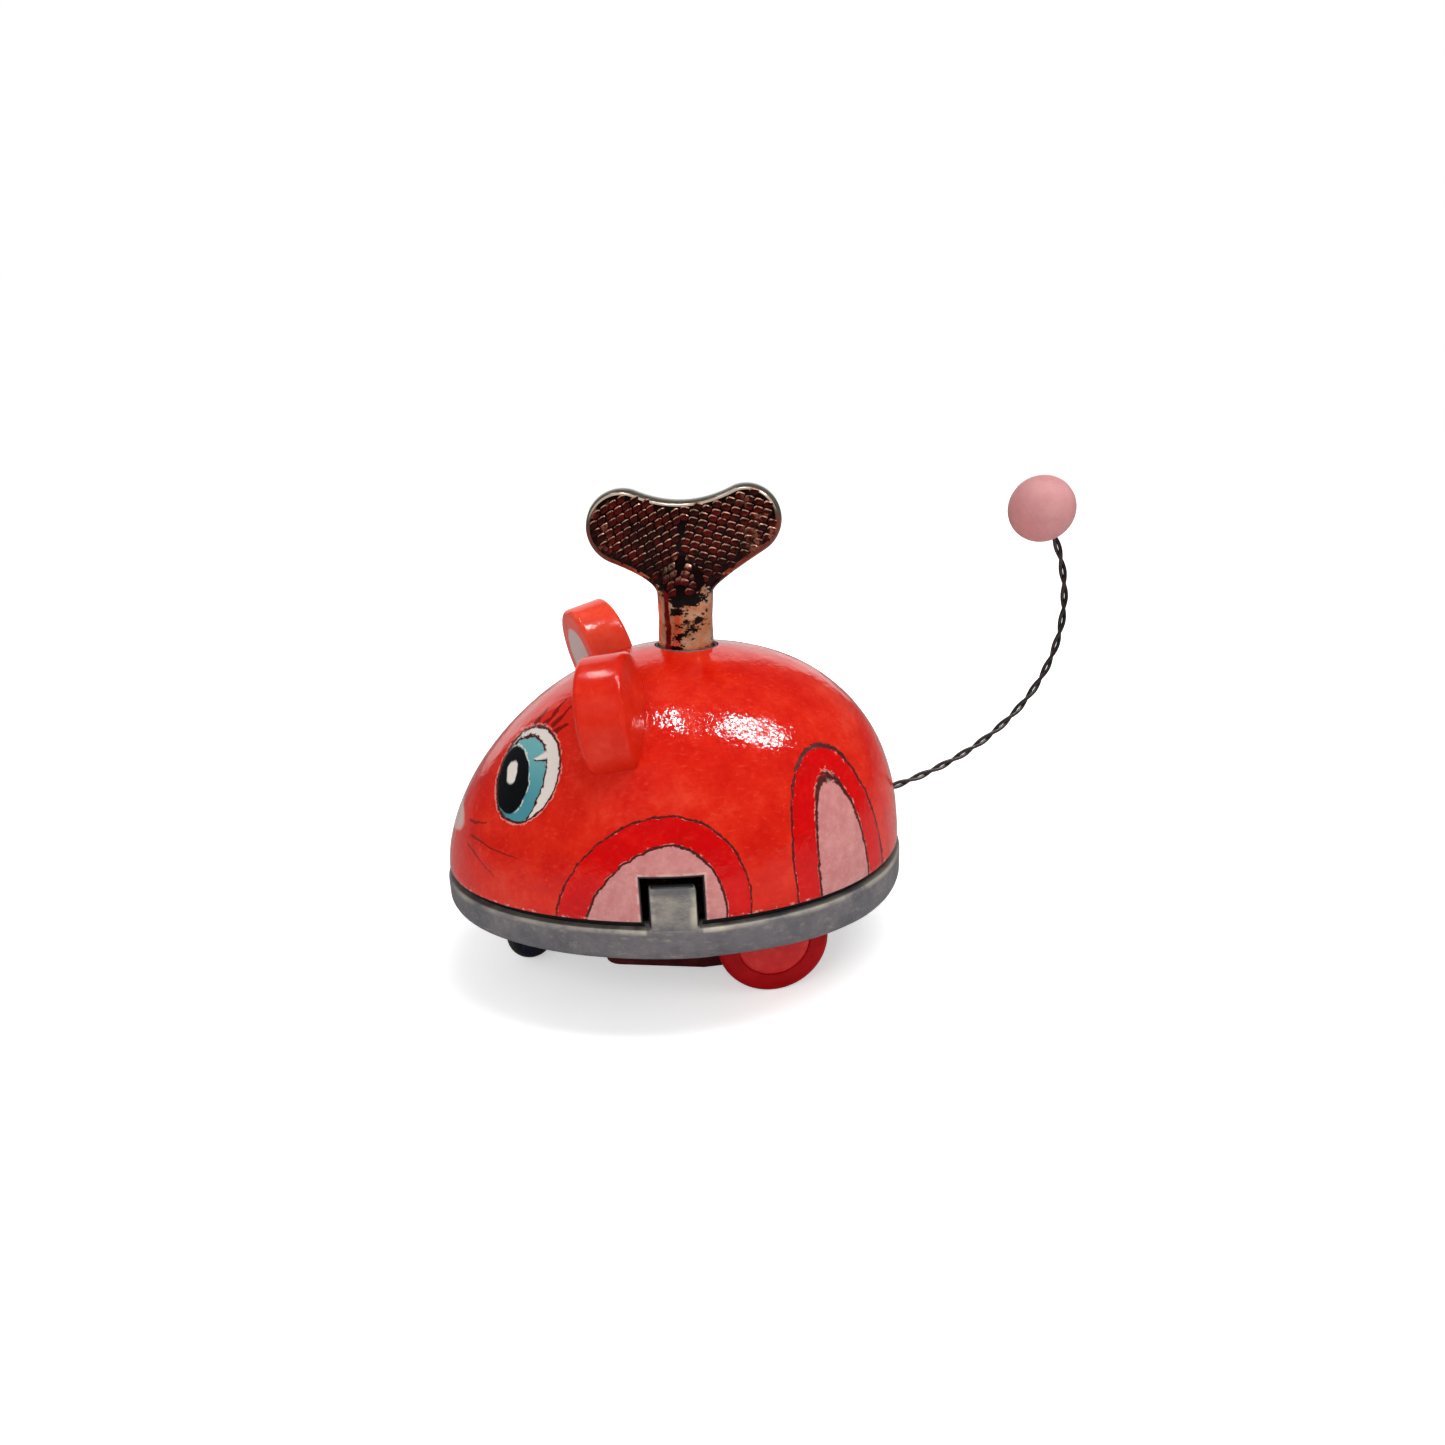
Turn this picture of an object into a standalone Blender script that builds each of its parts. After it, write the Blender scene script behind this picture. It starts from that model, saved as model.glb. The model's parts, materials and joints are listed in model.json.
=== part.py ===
"""Clockwork mouse: a domed shell on a base pan, run by a wound spring through a crown wheel."""

import math

import bmesh
import bpy
from mathutils import Matrix, Vector

# Sizes are in metres. The nose points along -Y, +X is the mouse's left side, the floor is at z = 0,
# and plan positions are measured from the key's axis.

# Plan outline of the body
NOSE_REACH = 0.0610
RUMP_REACH = 0.0504
HALF_WIDTH = 0.0460
WIDEST_Y = -0.0040
SIDE_POWER = 2.10
NOSE_POWER = 1.62
RUMP_POWER = 2.20

# Domed shell
DOME_HEIGHT = 0.0500
CROWN_Y = -0.0058
SIDE_DOME_POWER = 2.06
NOSE_DOME_POWER = 1.72
RUMP_DOME_POWER = 2.40
SHELL_WALL = 0.0030

# Base pan
BASE_DEPTH = 0.0090
BASE_WALL = 0.0032
BASE_FLOOR = 0.0016
BASE_FLARE = 0.0005
BASE_EDGE_ROUND = 0.0030
LIP_HEIGHT = 0.0015
LIP_INSET = 0.0016
TAB_Y = -0.0105
TAB_WIDTH = 0.0097
TAB_RISE = 0.0086
TAB_THICKNESS = 0.0024
NOTCH_GAP = 0.0016

# Ears
EAR_RADIUS = 0.0132
EAR_THICKNESS = 0.0105
EAR_ROUND = 0.0012
EAR_SIDE_SHARE = 0.5326
EAR_LEFT_FRONT_SHARE = 0.3139
EAR_RIGHT_FRONT_SHARE = 0.3333
EAR_LEFT_RISE = 0.0008
EAR_RIGHT_RISE = 0.0052
EAR_LEFT_TOE_IN = math.radians(13.6)
EAR_RIGHT_TOE_IN = math.radians(17.5)
EAR_LEFT_LEAN = math.radians(6.6)
EAR_RIGHT_LEAN = math.radians(13.2)

# Winding key
KEY_STEM_RADIUS = 0.0066
KEY_NECK_RISE = 0.0139
KEY_BOW_THICKNESS = 0.0070
KEY_BOW_ROUND = 0.0009
KEY_LOBE_RADIUS = 0.0086
KEY_FRONT_LOBE = 0.0125
KEY_REAR_LOBE = 0.0155
KEY_FRONT_FOOT = math.radians(-67)
KEY_REAR_FOOT = math.radians(-59)
KEY_BROW = math.radians(113)
KEY_LOBE_RISE = 0.0143
KEY_SQUARE = 0.0032
KEY_SOCKET_DEPTH = 0.0120
KEY_TURN = math.radians(12)
BUSH_WALL = 0.0017
BUSH_FLANGE = 0.0018

# Tail
WIRE_RADIUS = 0.00045
WIRE_PITCH = 0.0125
TAIL_ROOT_RISE = 0.0076
TAIL_REACH = 0.0400
TAIL_RISE = 0.0673
TAIL_START = math.radians(13.5)
TAIL_END = math.radians(120.7)
TAIL_START_PULL = 0.0465
TAIL_END_PULL = 0.0282
BALL_RADIUS = 0.0080
BALL_HOLE_DEPTH = 0.0062
FERRULE_LENGTH = 0.0050
FERRULE_WALL = 0.0009

# Wheels
WHEEL_RADIUS = 0.0131
WHEEL_WIDTH = 0.0100
HUB_RADIUS = 0.0085
TYRE_ROUND = 0.0014
AXLE_RADIUS = 0.0015
ROLLER_RADIUS = 0.0059
ROLLER_WIDTH = 0.0090
ROLLER_Y = -0.0441
ROLLER_PIN_RADIUS = 0.0011
FORK_THICKNESS = 0.0013

# Gear train
MODULE = 0.00073
GREAT_TEETH = 28
PINION_LEAVES = 8
CROWN_TEETH = 24
GREAT_THICKNESS = 0.0016
PINION_WIDTH = 0.0030
CROWN_DISC = 0.0013
CROWN_FACE = 0.0022
LAYSHAFT_RADIUS = 0.0012
ARBOR_RADIUS = 0.0020
RATCHET_TEETH = 10
RATCHET_TIP = 0.0048
RATCHET_ROOT = 0.0037
RATCHET_THICKNESS = 0.0018
CLICK_PIVOT_RADIUS = 0.0082
CLICK_PIVOT_ANGLE = math.radians(47)
CLICK_EYE = 0.0015
CLICK_NOSE = 0.0010
CLICK_RIVET = 0.0007

# Motor frame and its spring
PLATE_HALF_WIDTH = 0.0160
PLATE_FRONT = 0.0195
PLATE_REAR = 0.0220
PLATE_THICKNESS = 0.0012
PILLAR_RADIUS = 0.0022
PILLAR_INSET = 0.0030
SPRING_OUTER = 0.0150
SPRING_WIDTH = 0.0090
SPRING_STRIP = 0.0005
SPRING_TURNS = 6
SPRING_POST_RADIUS = 0.0012

# Drive housing under the base
HOUSING_FRONT = 0.0252
HOUSING_REAR = 0.0284
HOUSING_MARGIN = 0.0035
HOUSING_WALL = 0.0016
HOUSING_CORNER = 0.0030
HOUSING_DROP = 0.0111
HOUSING_SLOPE = 0.0232
HOUSING_SLOPE_RISE = 0.0040
BOSS_RADIUS = 0.0028
SCREW_RADIUS = 0.0010
SCREW_HEAD = 0.0020
SCREW_HEAD_HEIGHT = 0.0013

# Clearances
SEAT = 0.0003
RUN = 0.0001
SIDE_PLAY = 0.0010
CROWN_PLAY = 0.0011
TOP_PLATE_PLAY = 0.0010
SPRING_PLAY = 0.0008
CLICK_PLAY = 0.0005
CUT = 0.0020
WELD = 1e-6

# Facets
OUTLINE_SIDES = 36
DOME_RINGS = 8
ROUND_SIDES = 16
WHEEL_SIDES = 24
SMALL_SIDES = 12
SPRING_STEPS = 12
WIRE_STEPS = 6

# Heights and places that follow from the sizes above
PINION_RADIUS = PINION_LEAVES * MODULE / 2
GREAT_RADIUS = GREAT_TEETH * MODULE / 2
CROWN_RADIUS = CROWN_TEETH * MODULE / 2
ADDENDUM = 0.80 * MODULE
DEDENDUM = 1.25 * MODULE
LAY_Y = GREAT_RADIUS + PINION_RADIUS + RUN
AXLE_Z = WHEEL_RADIUS
CROWN_PITCH_Z = AXLE_Z + PINION_RADIUS + RUN
CROWN_BOTTOM = CROWN_PITCH_Z + DEDENDUM
CROWN_TOP = CROWN_BOTTOM + CROWN_DISC
BASE_Z = CROWN_TOP + CROWN_PLAY
FLOOR_Z = BASE_Z + BASE_FLOOR
BASE_TOP = BASE_Z + BASE_DEPTH
RIM_Z = BASE_TOP + LIP_HEIGHT + SEAT
BOTTOM_PLATE_Z = FLOOR_Z + SEAT
BOTTOM_PLATE_TOP = BOTTOM_PLATE_Z + PLATE_THICKNESS
RIVET_HEAD = 0.0006
RIVET_HEAD_RADIUS = CLICK_RIVET + 0.0005
GREAT_Z = BOTTOM_PLATE_TOP + SEAT + RIVET_HEAD + SEAT + RUN
GREAT_TOP = GREAT_Z + GREAT_THICKNESS
RATCHET_Z = GREAT_TOP + SEAT
RATCHET_TOP = RATCHET_Z + RATCHET_THICKNESS
TOP_PLATE_Z = RATCHET_TOP + SEAT + RIVET_HEAD + TOP_PLATE_PLAY
TOP_PLATE_TOP = TOP_PLATE_Z + PLATE_THICKNESS
PILLAR_HEAD = 0.0005
SPRING_Z = TOP_PLATE_TOP + SPRING_PLAY
SPRING_TOP = SPRING_Z + SPRING_WIDTH
SPRING_POST_Y = -(SPRING_OUTER + SPRING_STRIP / 2 + SEAT + SPRING_POST_RADIUS)
EAR_X = EAR_SIDE_SHARE * HALF_WIDTH
HOUSING_HALF = PLATE_HALF_WIDTH + HOUSING_MARGIN
HOUSING_Z = AXLE_Z - HOUSING_DROP
HOUSING_TOP = BASE_Z - SEAT
HOUSING_LEVEL_Y = HOUSING_SLOPE - HOUSING_FRONT
WHEEL_INNER = HOUSING_HALF + SIDE_PLAY
WHEEL_OUTER = WHEEL_INNER + WHEEL_WIDTH
PILLAR_X = PLATE_HALF_WIDTH - PILLAR_INSET
PILLAR_PLACES = [
    (side * PILLAR_X, y)
    for y in (PILLAR_INSET - PLATE_FRONT, PLATE_REAR - PILLAR_INSET)
    for side in (-1, 1)
]
BOSS_INSET = HOUSING_WALL + BOSS_RADIUS - RUN
BOSS_FRONT_Y = PILLAR_INSET - PLATE_FRONT + SCREW_HEAD + SIDE_PLAY + BOSS_RADIUS
BOSS_PLACES = [
    (side * (HOUSING_HALF - BOSS_INSET), y)
    for y in (BOSS_FRONT_Y, HOUSING_REAR - BOSS_INSET)
    for side in (-1, 1)
]
CLICK_PIVOT = Vector((math.cos(CLICK_PIVOT_ANGLE), math.sin(CLICK_PIVOT_ANGLE))) * CLICK_PIVOT_RADIUS

RED = (211, 44, 22)
MAROON = (92, 10, 20)
TYRE_RED = (157, 8, 20)
PEWTER = (112, 106, 106)
BRONZE = (96, 54, 40)
STEEL = (150, 150, 152)
BLUED = (52, 56, 66)
BRASS = (190, 150, 80)
DARK = (52, 46, 48)
DISC_RED = (182, 46, 44)
PINK = (204, 146, 144)
TAIL_STEEL = (90, 84, 82)


def linear(shade):
    """Linear red, green, blue and alpha from display values of 0 to 255."""
    unit = [value / 255 for value in shade]
    return [v / 12.92 if v <= 0.04045 else ((v + 0.055) / 1.055) ** 2.4 for v in unit] + [1.0]


def paint(obj, shade, roughness, metallic=0.0):
    """Gives the piece its own material."""
    material = bpy.data.materials.new(obj.name)
    material.use_nodes = True
    shader = material.node_tree.nodes["Principled BSDF"]
    shader.inputs["Base Color"].default_value = linear(shade)
    shader.inputs["Roughness"].default_value = roughness
    shader.inputs["Metallic"].default_value = metallic
    obj.data.materials.clear()
    obj.data.materials.append(material)
    return obj


def axis_empty(name, place, parent=None, along_x=False):
    """An empty on a joint's axis. Its own Z is the axis, turned to the X direction if asked."""
    empty = bpy.data.objects.new(name, None)
    empty.location = place
    empty.rotation_euler.y = math.pi / 2 if along_x else 0.0
    empty.parent = parent
    PARTS.objects.link(empty)
    return empty


def add_piece(name, mesh, parent):
    obj = bpy.data.objects.new(name, mesh)
    obj.parent = parent
    PARTS.objects.link(obj)
    return obj


def as_cutter(obj):
    """Moves a shape that only cuts or joins out of the parts."""
    PARTS.objects.unlink(obj)
    CUTTERS.objects.link(obj)
    obj.hide_render = True
    obj.display_type = "WIRE"
    return obj


def combine(obj, other, operation="DIFFERENCE"):
    """Cuts obj by the other shape, or joins the two."""
    modifier = obj.modifiers.new(f"{operation.lower()} {other.name}", "BOOLEAN")
    modifier.operation = operation
    modifier.object = as_cutter(other) if other.name in PARTS.objects else other
    modifier.solver = "EXACT"
    return obj


def mesh_from(bm, name):
    bmesh.ops.recalc_face_normals(bm, faces=bm.faces)
    mesh = bpy.data.meshes.new(name)
    bm.to_mesh(mesh)
    bm.free()
    mesh.shade_smooth()
    mesh.set_sharp_from_angle(angle=math.radians(35))
    return mesh


def block(name, parent, low, high):
    """A box between two corners."""
    low, high = Vector(low), Vector(high)
    bm = bmesh.new()
    bmesh.ops.create_cube(bm, size=1.0)
    bmesh.ops.scale(bm, vec=high - low, verts=bm.verts)
    bmesh.ops.translate(bm, vec=(low + high) / 2, verts=bm.verts)
    return add_piece(name, mesh_from(bm, name), parent)


def rod(name, parent, radius, start, end, sides=ROUND_SIDES):
    """A plain cylinder between two points."""
    start, end = Vector(start), Vector(end)
    length = (end - start).length
    bm = bmesh.new()
    bmesh.ops.create_cone(
        bm, cap_ends=True, segments=sides, radius1=radius, radius2=radius, depth=length
    )
    turn = Vector((0, 0, 1)).rotation_difference(end - start).to_matrix().to_4x4()
    bmesh.ops.transform(bm, matrix=Matrix.Translation((start + end) / 2) @ turn, verts=bm.verts)
    return add_piece(name, mesh_from(bm, name), parent)


def turned(name, parent, profile, closed=False, sides=ROUND_SIDES):
    """A profile of (radius, height) points, turned round Z. It runs down its outer side."""
    mesh = bpy.data.meshes.new(name)
    edges = [(i, i + 1) for i in range(len(profile) - 1)]
    if closed:
        edges.append((len(profile) - 1, 0))
    mesh.from_pydata([(radius, 0, height) for radius, height in profile], edges, [])
    obj = add_piece(name, mesh, parent)
    screw = obj.modifiers.new("turn", "SCREW")
    screw.steps = screw.render_steps = sides
    screw.use_merge_vertices = True
    screw.merge_threshold = WELD
    screw.use_smooth_shade = True
    return obj


def ring(name, parent, inner, outer, bottom, top, sides=ROUND_SIDES):
    return turned(
        name, parent, [(outer, top), (outer, bottom), (inner, bottom), (inner, top)], True, sides
    )


def plate(name, parent, outlines, bottom, top, upright=False):
    """A flat piece: the first outline is its edge, and the others are holes in it.

    It lies in the XY plane, or upright in the YZ plane, with its thickness from bottom to top.
    """
    curve = bpy.data.curves.new(name, "CURVE")
    curve.dimensions = "2D"
    curve.fill_mode = "BOTH"
    curve.extrude = (top - bottom) / 2
    for outline in outlines:
        spline = curve.splines.new("POLY")
        spline.points.add(len(outline) - 1)
        for point, (x, y) in zip(spline.points, outline):
            point.co = (x, y, 0, 1)
        spline.use_cyclic_u = True
    flat = bpy.data.objects.new(name + "_outline", curve)
    bpy.context.scene.collection.objects.link(flat)
    bpy.context.view_layer.update()
    drawn = bpy.data.meshes.new_from_object(
        flat.evaluated_get(bpy.context.evaluated_depsgraph_get())
    )
    bpy.data.objects.remove(flat)
    bm = bmesh.new()
    bm.from_mesh(drawn)
    bmesh.ops.remove_doubles(bm, verts=bm.verts, dist=WELD)
    bmesh.ops.translate(bm, vec=(0, 0, (bottom + top) / 2), verts=bm.verts)
    if upright:
        standing = Matrix(((0, 0, 1, 0), (1, 0, 0, 0), (0, 1, 0, 0), (0, 0, 0, 1)))
        bmesh.ops.transform(bm, matrix=standing, verts=bm.verts)
    return add_piece(name, mesh_from(bm, name), parent)


def wire(name, parent, points, radius, resolution=1):
    """A round wire along the points, with closed ends."""
    curve = bpy.data.curves.new(name, "CURVE")
    curve.dimensions = "3D"
    curve.bevel_depth = radius
    curve.bevel_resolution = resolution
    curve.use_fill_caps = True
    spline = curve.splines.new("POLY")
    spline.points.add(len(points) - 1)
    for point, place in zip(spline.points, points):
        point.co = (*place, 1)
    return add_piece(name, curve, parent)


def loft(name, parent, rings, pole=None):
    """A closed skin over rings of points, with a flat foot and a flat top or a pole."""
    bm = bmesh.new()
    rows = [[bm.verts.new(point) for point in points] for points in rings]
    for lower, upper in zip(rows, rows[1:]):
        for i in range(len(lower)):
            bm.faces.new((lower[i - 1], lower[i], upper[i], upper[i - 1]))
    bm.faces.new(rows[0])
    if pole is None:
        bm.faces.new(rows[-1])
    else:
        tip = bm.verts.new(pole)
        for i in range(len(rows[-1])):
            bm.faces.new((rows[-1][i - 1], rows[-1][i], tip))
    return add_piece(name, mesh_from(bm, name), parent)


def circle(radius, x=0.0, y=0.0, sides=ROUND_SIDES):
    turn = 2 * math.pi / sides
    return [
        (x + radius * math.cos(i * turn), y + radius * math.sin(i * turn)) for i in range(sides)
    ]


def arc(x, y, radius, start, end, steps):
    """Points on an arc between two angles in degrees, both ends included."""
    angles = [math.radians(start + (end - start) * i / steps) for i in range(steps + 1)]
    return [(x + radius * math.cos(a), y + radius * math.sin(a)) for a in angles]


def rounded_box(x0, y0, x1, y1, radius, steps=4):
    """A rectangle's outline with round corners."""
    return (
        arc(x1 - radius, y1 - radius, radius, 0, 90, steps)
        + arc(x0 + radius, y1 - radius, radius, 90, 180, steps)
        + arc(x0 + radius, y0 + radius, radius, 180, 270, steps)
        + arc(x1 - radius, y0 + radius, radius, 270, 360, steps)
    )


def bezier(points, share):
    """A point on a Bezier curve of any degree."""
    points = [Vector(point) for point in points]
    while len(points) > 1:
        points = [a.lerp(b, share) for a, b in zip(points, points[1:])]
    return points[0]


def plan_point(angle, grow=0.0):
    """A point on the body's plan outline, moved out by grow. Angle 0 is at the rump."""
    along, across = math.cos(angle), math.sin(angle)
    rear = along > 0
    reach = RUMP_REACH - WIDEST_Y if rear else NOSE_REACH + WIDEST_Y
    power = RUMP_POWER if rear else NOSE_POWER
    x = (HALF_WIDTH + grow) * math.copysign(abs(across) ** (2 / SIDE_POWER), across)
    y = WIDEST_Y + (reach + grow) * math.copysign(abs(along) ** (2 / power), along)
    return x, y


def plan_ring(height, grow):
    turn = 2 * math.pi / OUTLINE_SIDES
    return [(*plan_point(i * turn, grow), height) for i in range(OUTLINE_SIDES)]


def plan_shares(x, y, grow):
    """A plan point's sideways and lengthways shares, which add up to 1 on the outline."""
    rear = y > WIDEST_Y
    reach = RUMP_REACH - WIDEST_Y if rear else NOSE_REACH + WIDEST_Y
    power = RUMP_POWER if rear else NOSE_POWER
    sideways = abs(x / (HALF_WIDTH + grow)) ** SIDE_POWER
    return sideways, abs((y - WIDEST_Y) / (reach + grow)) ** power, rear


def plan_half_width(y, grow=0.0):
    """Half the body's width at a place along it."""
    lengthways = plan_shares(0.0, y, grow)[1]
    return (HALF_WIDTH + grow) * (1 - lengthways) ** (1 / SIDE_POWER)


def dome_power(lengthways, rear):
    """The roundness of the dome's section towards a point of the outline."""
    end_power = RUMP_DOME_POWER if rear else NOSE_DOME_POWER
    return SIDE_DOME_POWER + (end_power - SIDE_DOME_POWER) * lengthways


def dome_point(angle, rise, grow=0.0):
    """A point on the dome, moved out by grow. The rise is 0 at its foot and 1 at its crown."""
    power = dome_power(math.cos(angle) ** 2, math.cos(angle) > 0)
    shrink = (1 - rise**power) ** (1 / power)
    x, y = plan_point(angle, grow)
    height = BASE_TOP + (DOME_HEIGHT + grow) * rise
    return Vector((x * shrink, CROWN_Y + (y - CROWN_Y) * shrink, height))


def dome_height(x, y, grow=0.0):
    """Height of the dome's surface over a plan point, by halving."""
    low, high = 0.0, 1.0
    for _ in range(40):
        shrink = (low + high) / 2
        sideways, lengthways, rear = plan_shares(
            x / shrink, CROWN_Y + (y - CROWN_Y) / shrink, grow
        )
        if sideways + lengthways > 1:
            low = shrink
        else:
            high = shrink
    power = dome_power(lengthways, rear)
    return BASE_TOP + (DOME_HEIGHT + grow) * (1 - shrink**power) ** (1 / power)


def dome_solid(name, grow, foot):
    """The dome's full solid, moved out by grow, down to the height of its foot."""
    turn = 2 * math.pi / OUTLINE_SIDES
    start = math.asin(max(0.0, (foot - BASE_TOP) / (DOME_HEIGHT + grow)))
    rises = [
        math.sin(start + (math.pi / 2 - start) * i / DOME_RINGS) for i in range(DOME_RINGS)
    ]
    rings = [[dome_point(i * turn, rise, grow) for i in range(OUTLINE_SIDES)] for rise in rises]
    if foot < BASE_TOP:
        rings.insert(0, plan_ring(foot, grow))
    return loft(name, FRAME, rings, (0, CROWN_Y, BASE_TOP + DOME_HEIGHT + grow))


def toothed_outline(teeth, share, phase=0.0):
    """A clock gear's edge: radial flanks below the pitch circle and rounded tips above it.

    The share is how much of the pitch each tooth takes, and a tooth points to the phase angle.
    """
    pitch = teeth * MODULE / 2
    half = share * math.pi / teeth
    steps = [(pitch - DEDENDUM, 1.0), (pitch, 1.0), (pitch + ADDENDUM, 0.36)]
    sides = [(r, -width * half) for r, width in steps]
    sides += [(r, width * half) for r, width in steps[::-1]]
    return [
        (r * math.cos(phase + turn + a), r * math.sin(phase + turn + a))
        for turn in (2 * math.pi * i / teeth for i in range(teeth))
        for r, a in sides
    ]


def tail_path():
    """Points and headings along the tail's middle, from inside the shell to inside the ball."""
    start = Vector((math.cos(TAIL_START), math.sin(TAIL_START)))
    end = Vector((math.cos(TAIL_END), math.sin(TAIL_END)))
    root = Vector((TAIL_ROOT.y, TAIL_ROOT.z))
    tip = root + Vector((TAIL_REACH, TAIL_RISE))
    inner = root - start * TAIL_LEAD
    corners = [root, root + start * TAIL_START_PULL, tip - end * TAIL_END_PULL, tip]
    fine = [inner.lerp(root, i / 20) for i in range(20)]
    fine += [bezier(corners, i / 200) for i in range(201)]
    return fine


# The scene and its collections
for leftover in list(bpy.data.objects):
    bpy.data.objects.remove(leftover)
PARTS = bpy.data.collections.new("clockwork_mouse")
CUTTERS = bpy.data.collections.new("clockwork_mouse_cutters")
for group in (PARTS, CUTTERS):
    bpy.context.scene.collection.children.link(group)

# The tail's root on the shell, and the ball, which is the model's rear end
TAIL_ROOT = dome_point(0.0, TAIL_ROOT_RISE / DOME_HEIGHT)
TAIL_LEAD = SHELL_WALL + SEAT + FERRULE_LENGTH
TAIL_TIP = Vector((0, TAIL_ROOT.y + TAIL_REACH, TAIL_ROOT.z + TAIL_RISE))
TAIL_END_HEADING = Vector((0, math.cos(TAIL_END), math.sin(TAIL_END)))
BALL_CENTRE = TAIL_TIP + TAIL_END_HEADING * (BALL_RADIUS - BALL_HOLE_DEPTH + SEAT)
FRONT_END = -(NOSE_REACH + BASE_FLARE)
REAR_END = BALL_CENTRE.y + BALL_RADIUS

FRAME = axis_empty("mouse_frame", (0, -(FRONT_END + REAR_END) / 2, 0))
KEY_AXIS = axis_empty("key_axis", (0, 0, 0), FRAME)
GREAT_AXIS = axis_empty("great_wheel_axis", (0, 0, 0), FRAME)
CLICK_AXIS = axis_empty("click_axis", (*CLICK_PIVOT, 0), GREAT_AXIS)
LAY_AXIS = axis_empty("layshaft_axis", (0, LAY_Y, 0), FRAME)
AXLE_AXIS = axis_empty("rear_axle_axis", (0, LAY_Y, AXLE_Z), FRAME, along_x=True)
ROLLER_AXIS = axis_empty("front_roller_axis", (0, ROLLER_Y, ROLLER_RADIUS), FRAME, along_x=True)


def make_shell():
    """The domed body with its key hole, tail hole and a notch for each tab of the base."""
    shell = dome_solid("body_shell", 0.0, RIM_Z)
    combine(shell, dome_solid("shell_inside", -SHELL_WALL, BASE_TOP - CUT))
    top = BASE_TOP + DOME_HEIGHT
    combine(
        shell,
        rod("key_hole", FRAME, BUSH_OUTER + SEAT, (0, 0, top - DOME_HEIGHT / 2), (0, 0, top + CUT)),
    )
    heading = Vector((0, math.cos(TAIL_START), math.sin(TAIL_START)))
    combine(
        shell,
        rod(
            "tail_hole",
            FRAME,
            TWIST_RADIUS + SEAT,
            TAIL_ROOT - heading * (SHELL_WALL + CUT),
            TAIL_ROOT + heading * CUT,
        ),
    )
    half = TAB_WIDTH / 2 + NOTCH_GAP
    reach = HALF_WIDTH + CUT
    inner = plan_half_width(TAB_Y) - SHELL_WALL - 2 * CUT
    for side in (-1, 1):
        notch = block(
            f"tab_notch_{side}",
            FRAME,
            (min(side * inner, side * reach), TAB_Y - half, RIM_Z - CUT),
            (max(side * inner, side * reach), TAB_Y + half, BASE_TOP + TAB_RISE + NOTCH_GAP),
        )
        combine(shell, notch)
    paint(shell, RED, 0.22)


def make_base():
    """The base pan: a rounded tray with a stepped lip, two side tabs and openings for the drive."""
    edge = BASE_EDGE_ROUND
    rings = [
        plan_ring(BASE_Z + edge * (1 - math.sin(a)), BASE_FLARE - edge * (1 - math.cos(a)))
        for a in (math.radians(90 - 22.5 * i) for i in range(5))
    ]
    rings.append(plan_ring(BASE_TOP, BASE_FLARE))
    rings.append(plan_ring(BASE_TOP, -LIP_INSET))
    rings.append(plan_ring(BASE_TOP + LIP_HEIGHT, -LIP_INSET))
    base = loft("base_pan", FRAME, rings)
    shrink = -BASE_WALL - LIP_INSET / 2
    inside = [plan_ring(FLOOR_Z, shrink), plan_ring(BASE_TOP + LIP_HEIGHT + CUT, shrink)]
    combine(base, loft("base_inside", FRAME, inside))
    half = TAB_WIDTH / 2
    outer = min(plan_half_width(TAB_Y - half), plan_half_width(TAB_Y + half))
    outline = rounded_box(
        TAB_Y - half, BASE_TOP - BASE_DEPTH / 3, TAB_Y + half, BASE_TOP + TAB_RISE, TAB_WIDTH / 5, 3
    )
    for side in (-1, 1):
        ends = sorted((side * outer, side * (outer - TAB_THICKNESS)))
        combine(base, plate(f"side_tab_{side}", FRAME, [outline], *ends, upright=True), "UNION")
    under = BASE_Z - CUT
    over = FLOOR_Z + CUT
    reach = WHEEL_RADIUS + SIDE_PLAY
    for side in (-1, 1):
        ends = sorted((side * (WHEEL_INNER - SIDE_PLAY), side * (WHEEL_OUTER + SIDE_PLAY)))
        low, high = (ends[0], LAY_Y - reach, under), (ends[1], LAY_Y + reach, over)
        slot = block(f"wheel_slot_{side}", FRAME, low, high)
        combine(base, slot)
    holes = [(0, LAY_Y, LAYSHAFT_RADIUS + SIDE_PLAY), (0, ROLLER_Y, SCREW_RADIUS + RUN)]
    holes += [(x, y, SCREW_RADIUS + RUN) for x, y in PILLAR_PLACES + BOSS_PLACES]
    for number, (x, y, radius) in enumerate(holes):
        low, high = (x, y, under), (x, y, over)
        combine(base, rod(f"base_hole_{number}", FRAME, radius, low, high, SMALL_SIDES))
    paint(base, PEWTER, 0.42, 0.7)


def make_ears():
    """Two thick round ears, turned inwards and set by hand, seated on the dome."""
    seat = as_cutter(dome_solid("ear_seat", SEAT, BASE_TOP))
    half = EAR_THICKNESS / 2
    left = (EAR_LEFT_FRONT_SHARE, EAR_LEFT_RISE, EAR_LEFT_LEAN, EAR_LEFT_TOE_IN)
    right = (EAR_RIGHT_FRONT_SHARE, EAR_RIGHT_RISE, EAR_RIGHT_LEAN, EAR_RIGHT_TOE_IN)
    for side, name, (front, rise, lean, toe_in) in ((1, "ear_left", left), (-1, "ear_right", right)):
        y = -front * NOSE_REACH
        ear = rod(name, FRAME, EAR_RADIUS, (0, 0, -half), (0, 0, half), WHEEL_SIDES)
        ear.location = (side * EAR_X, y, dome_height(EAR_X, y) + rise)
        ear.rotation_euler = (math.pi / 2 + lean, 0, -side * toe_in)
        bevel = ear.modifiers.new("rounded edge", "BEVEL")
        bevel.width = EAR_ROUND
        bevel.segments = 2
        combine(ear, seat)
        paint(ear, RED, 0.25)


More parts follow.
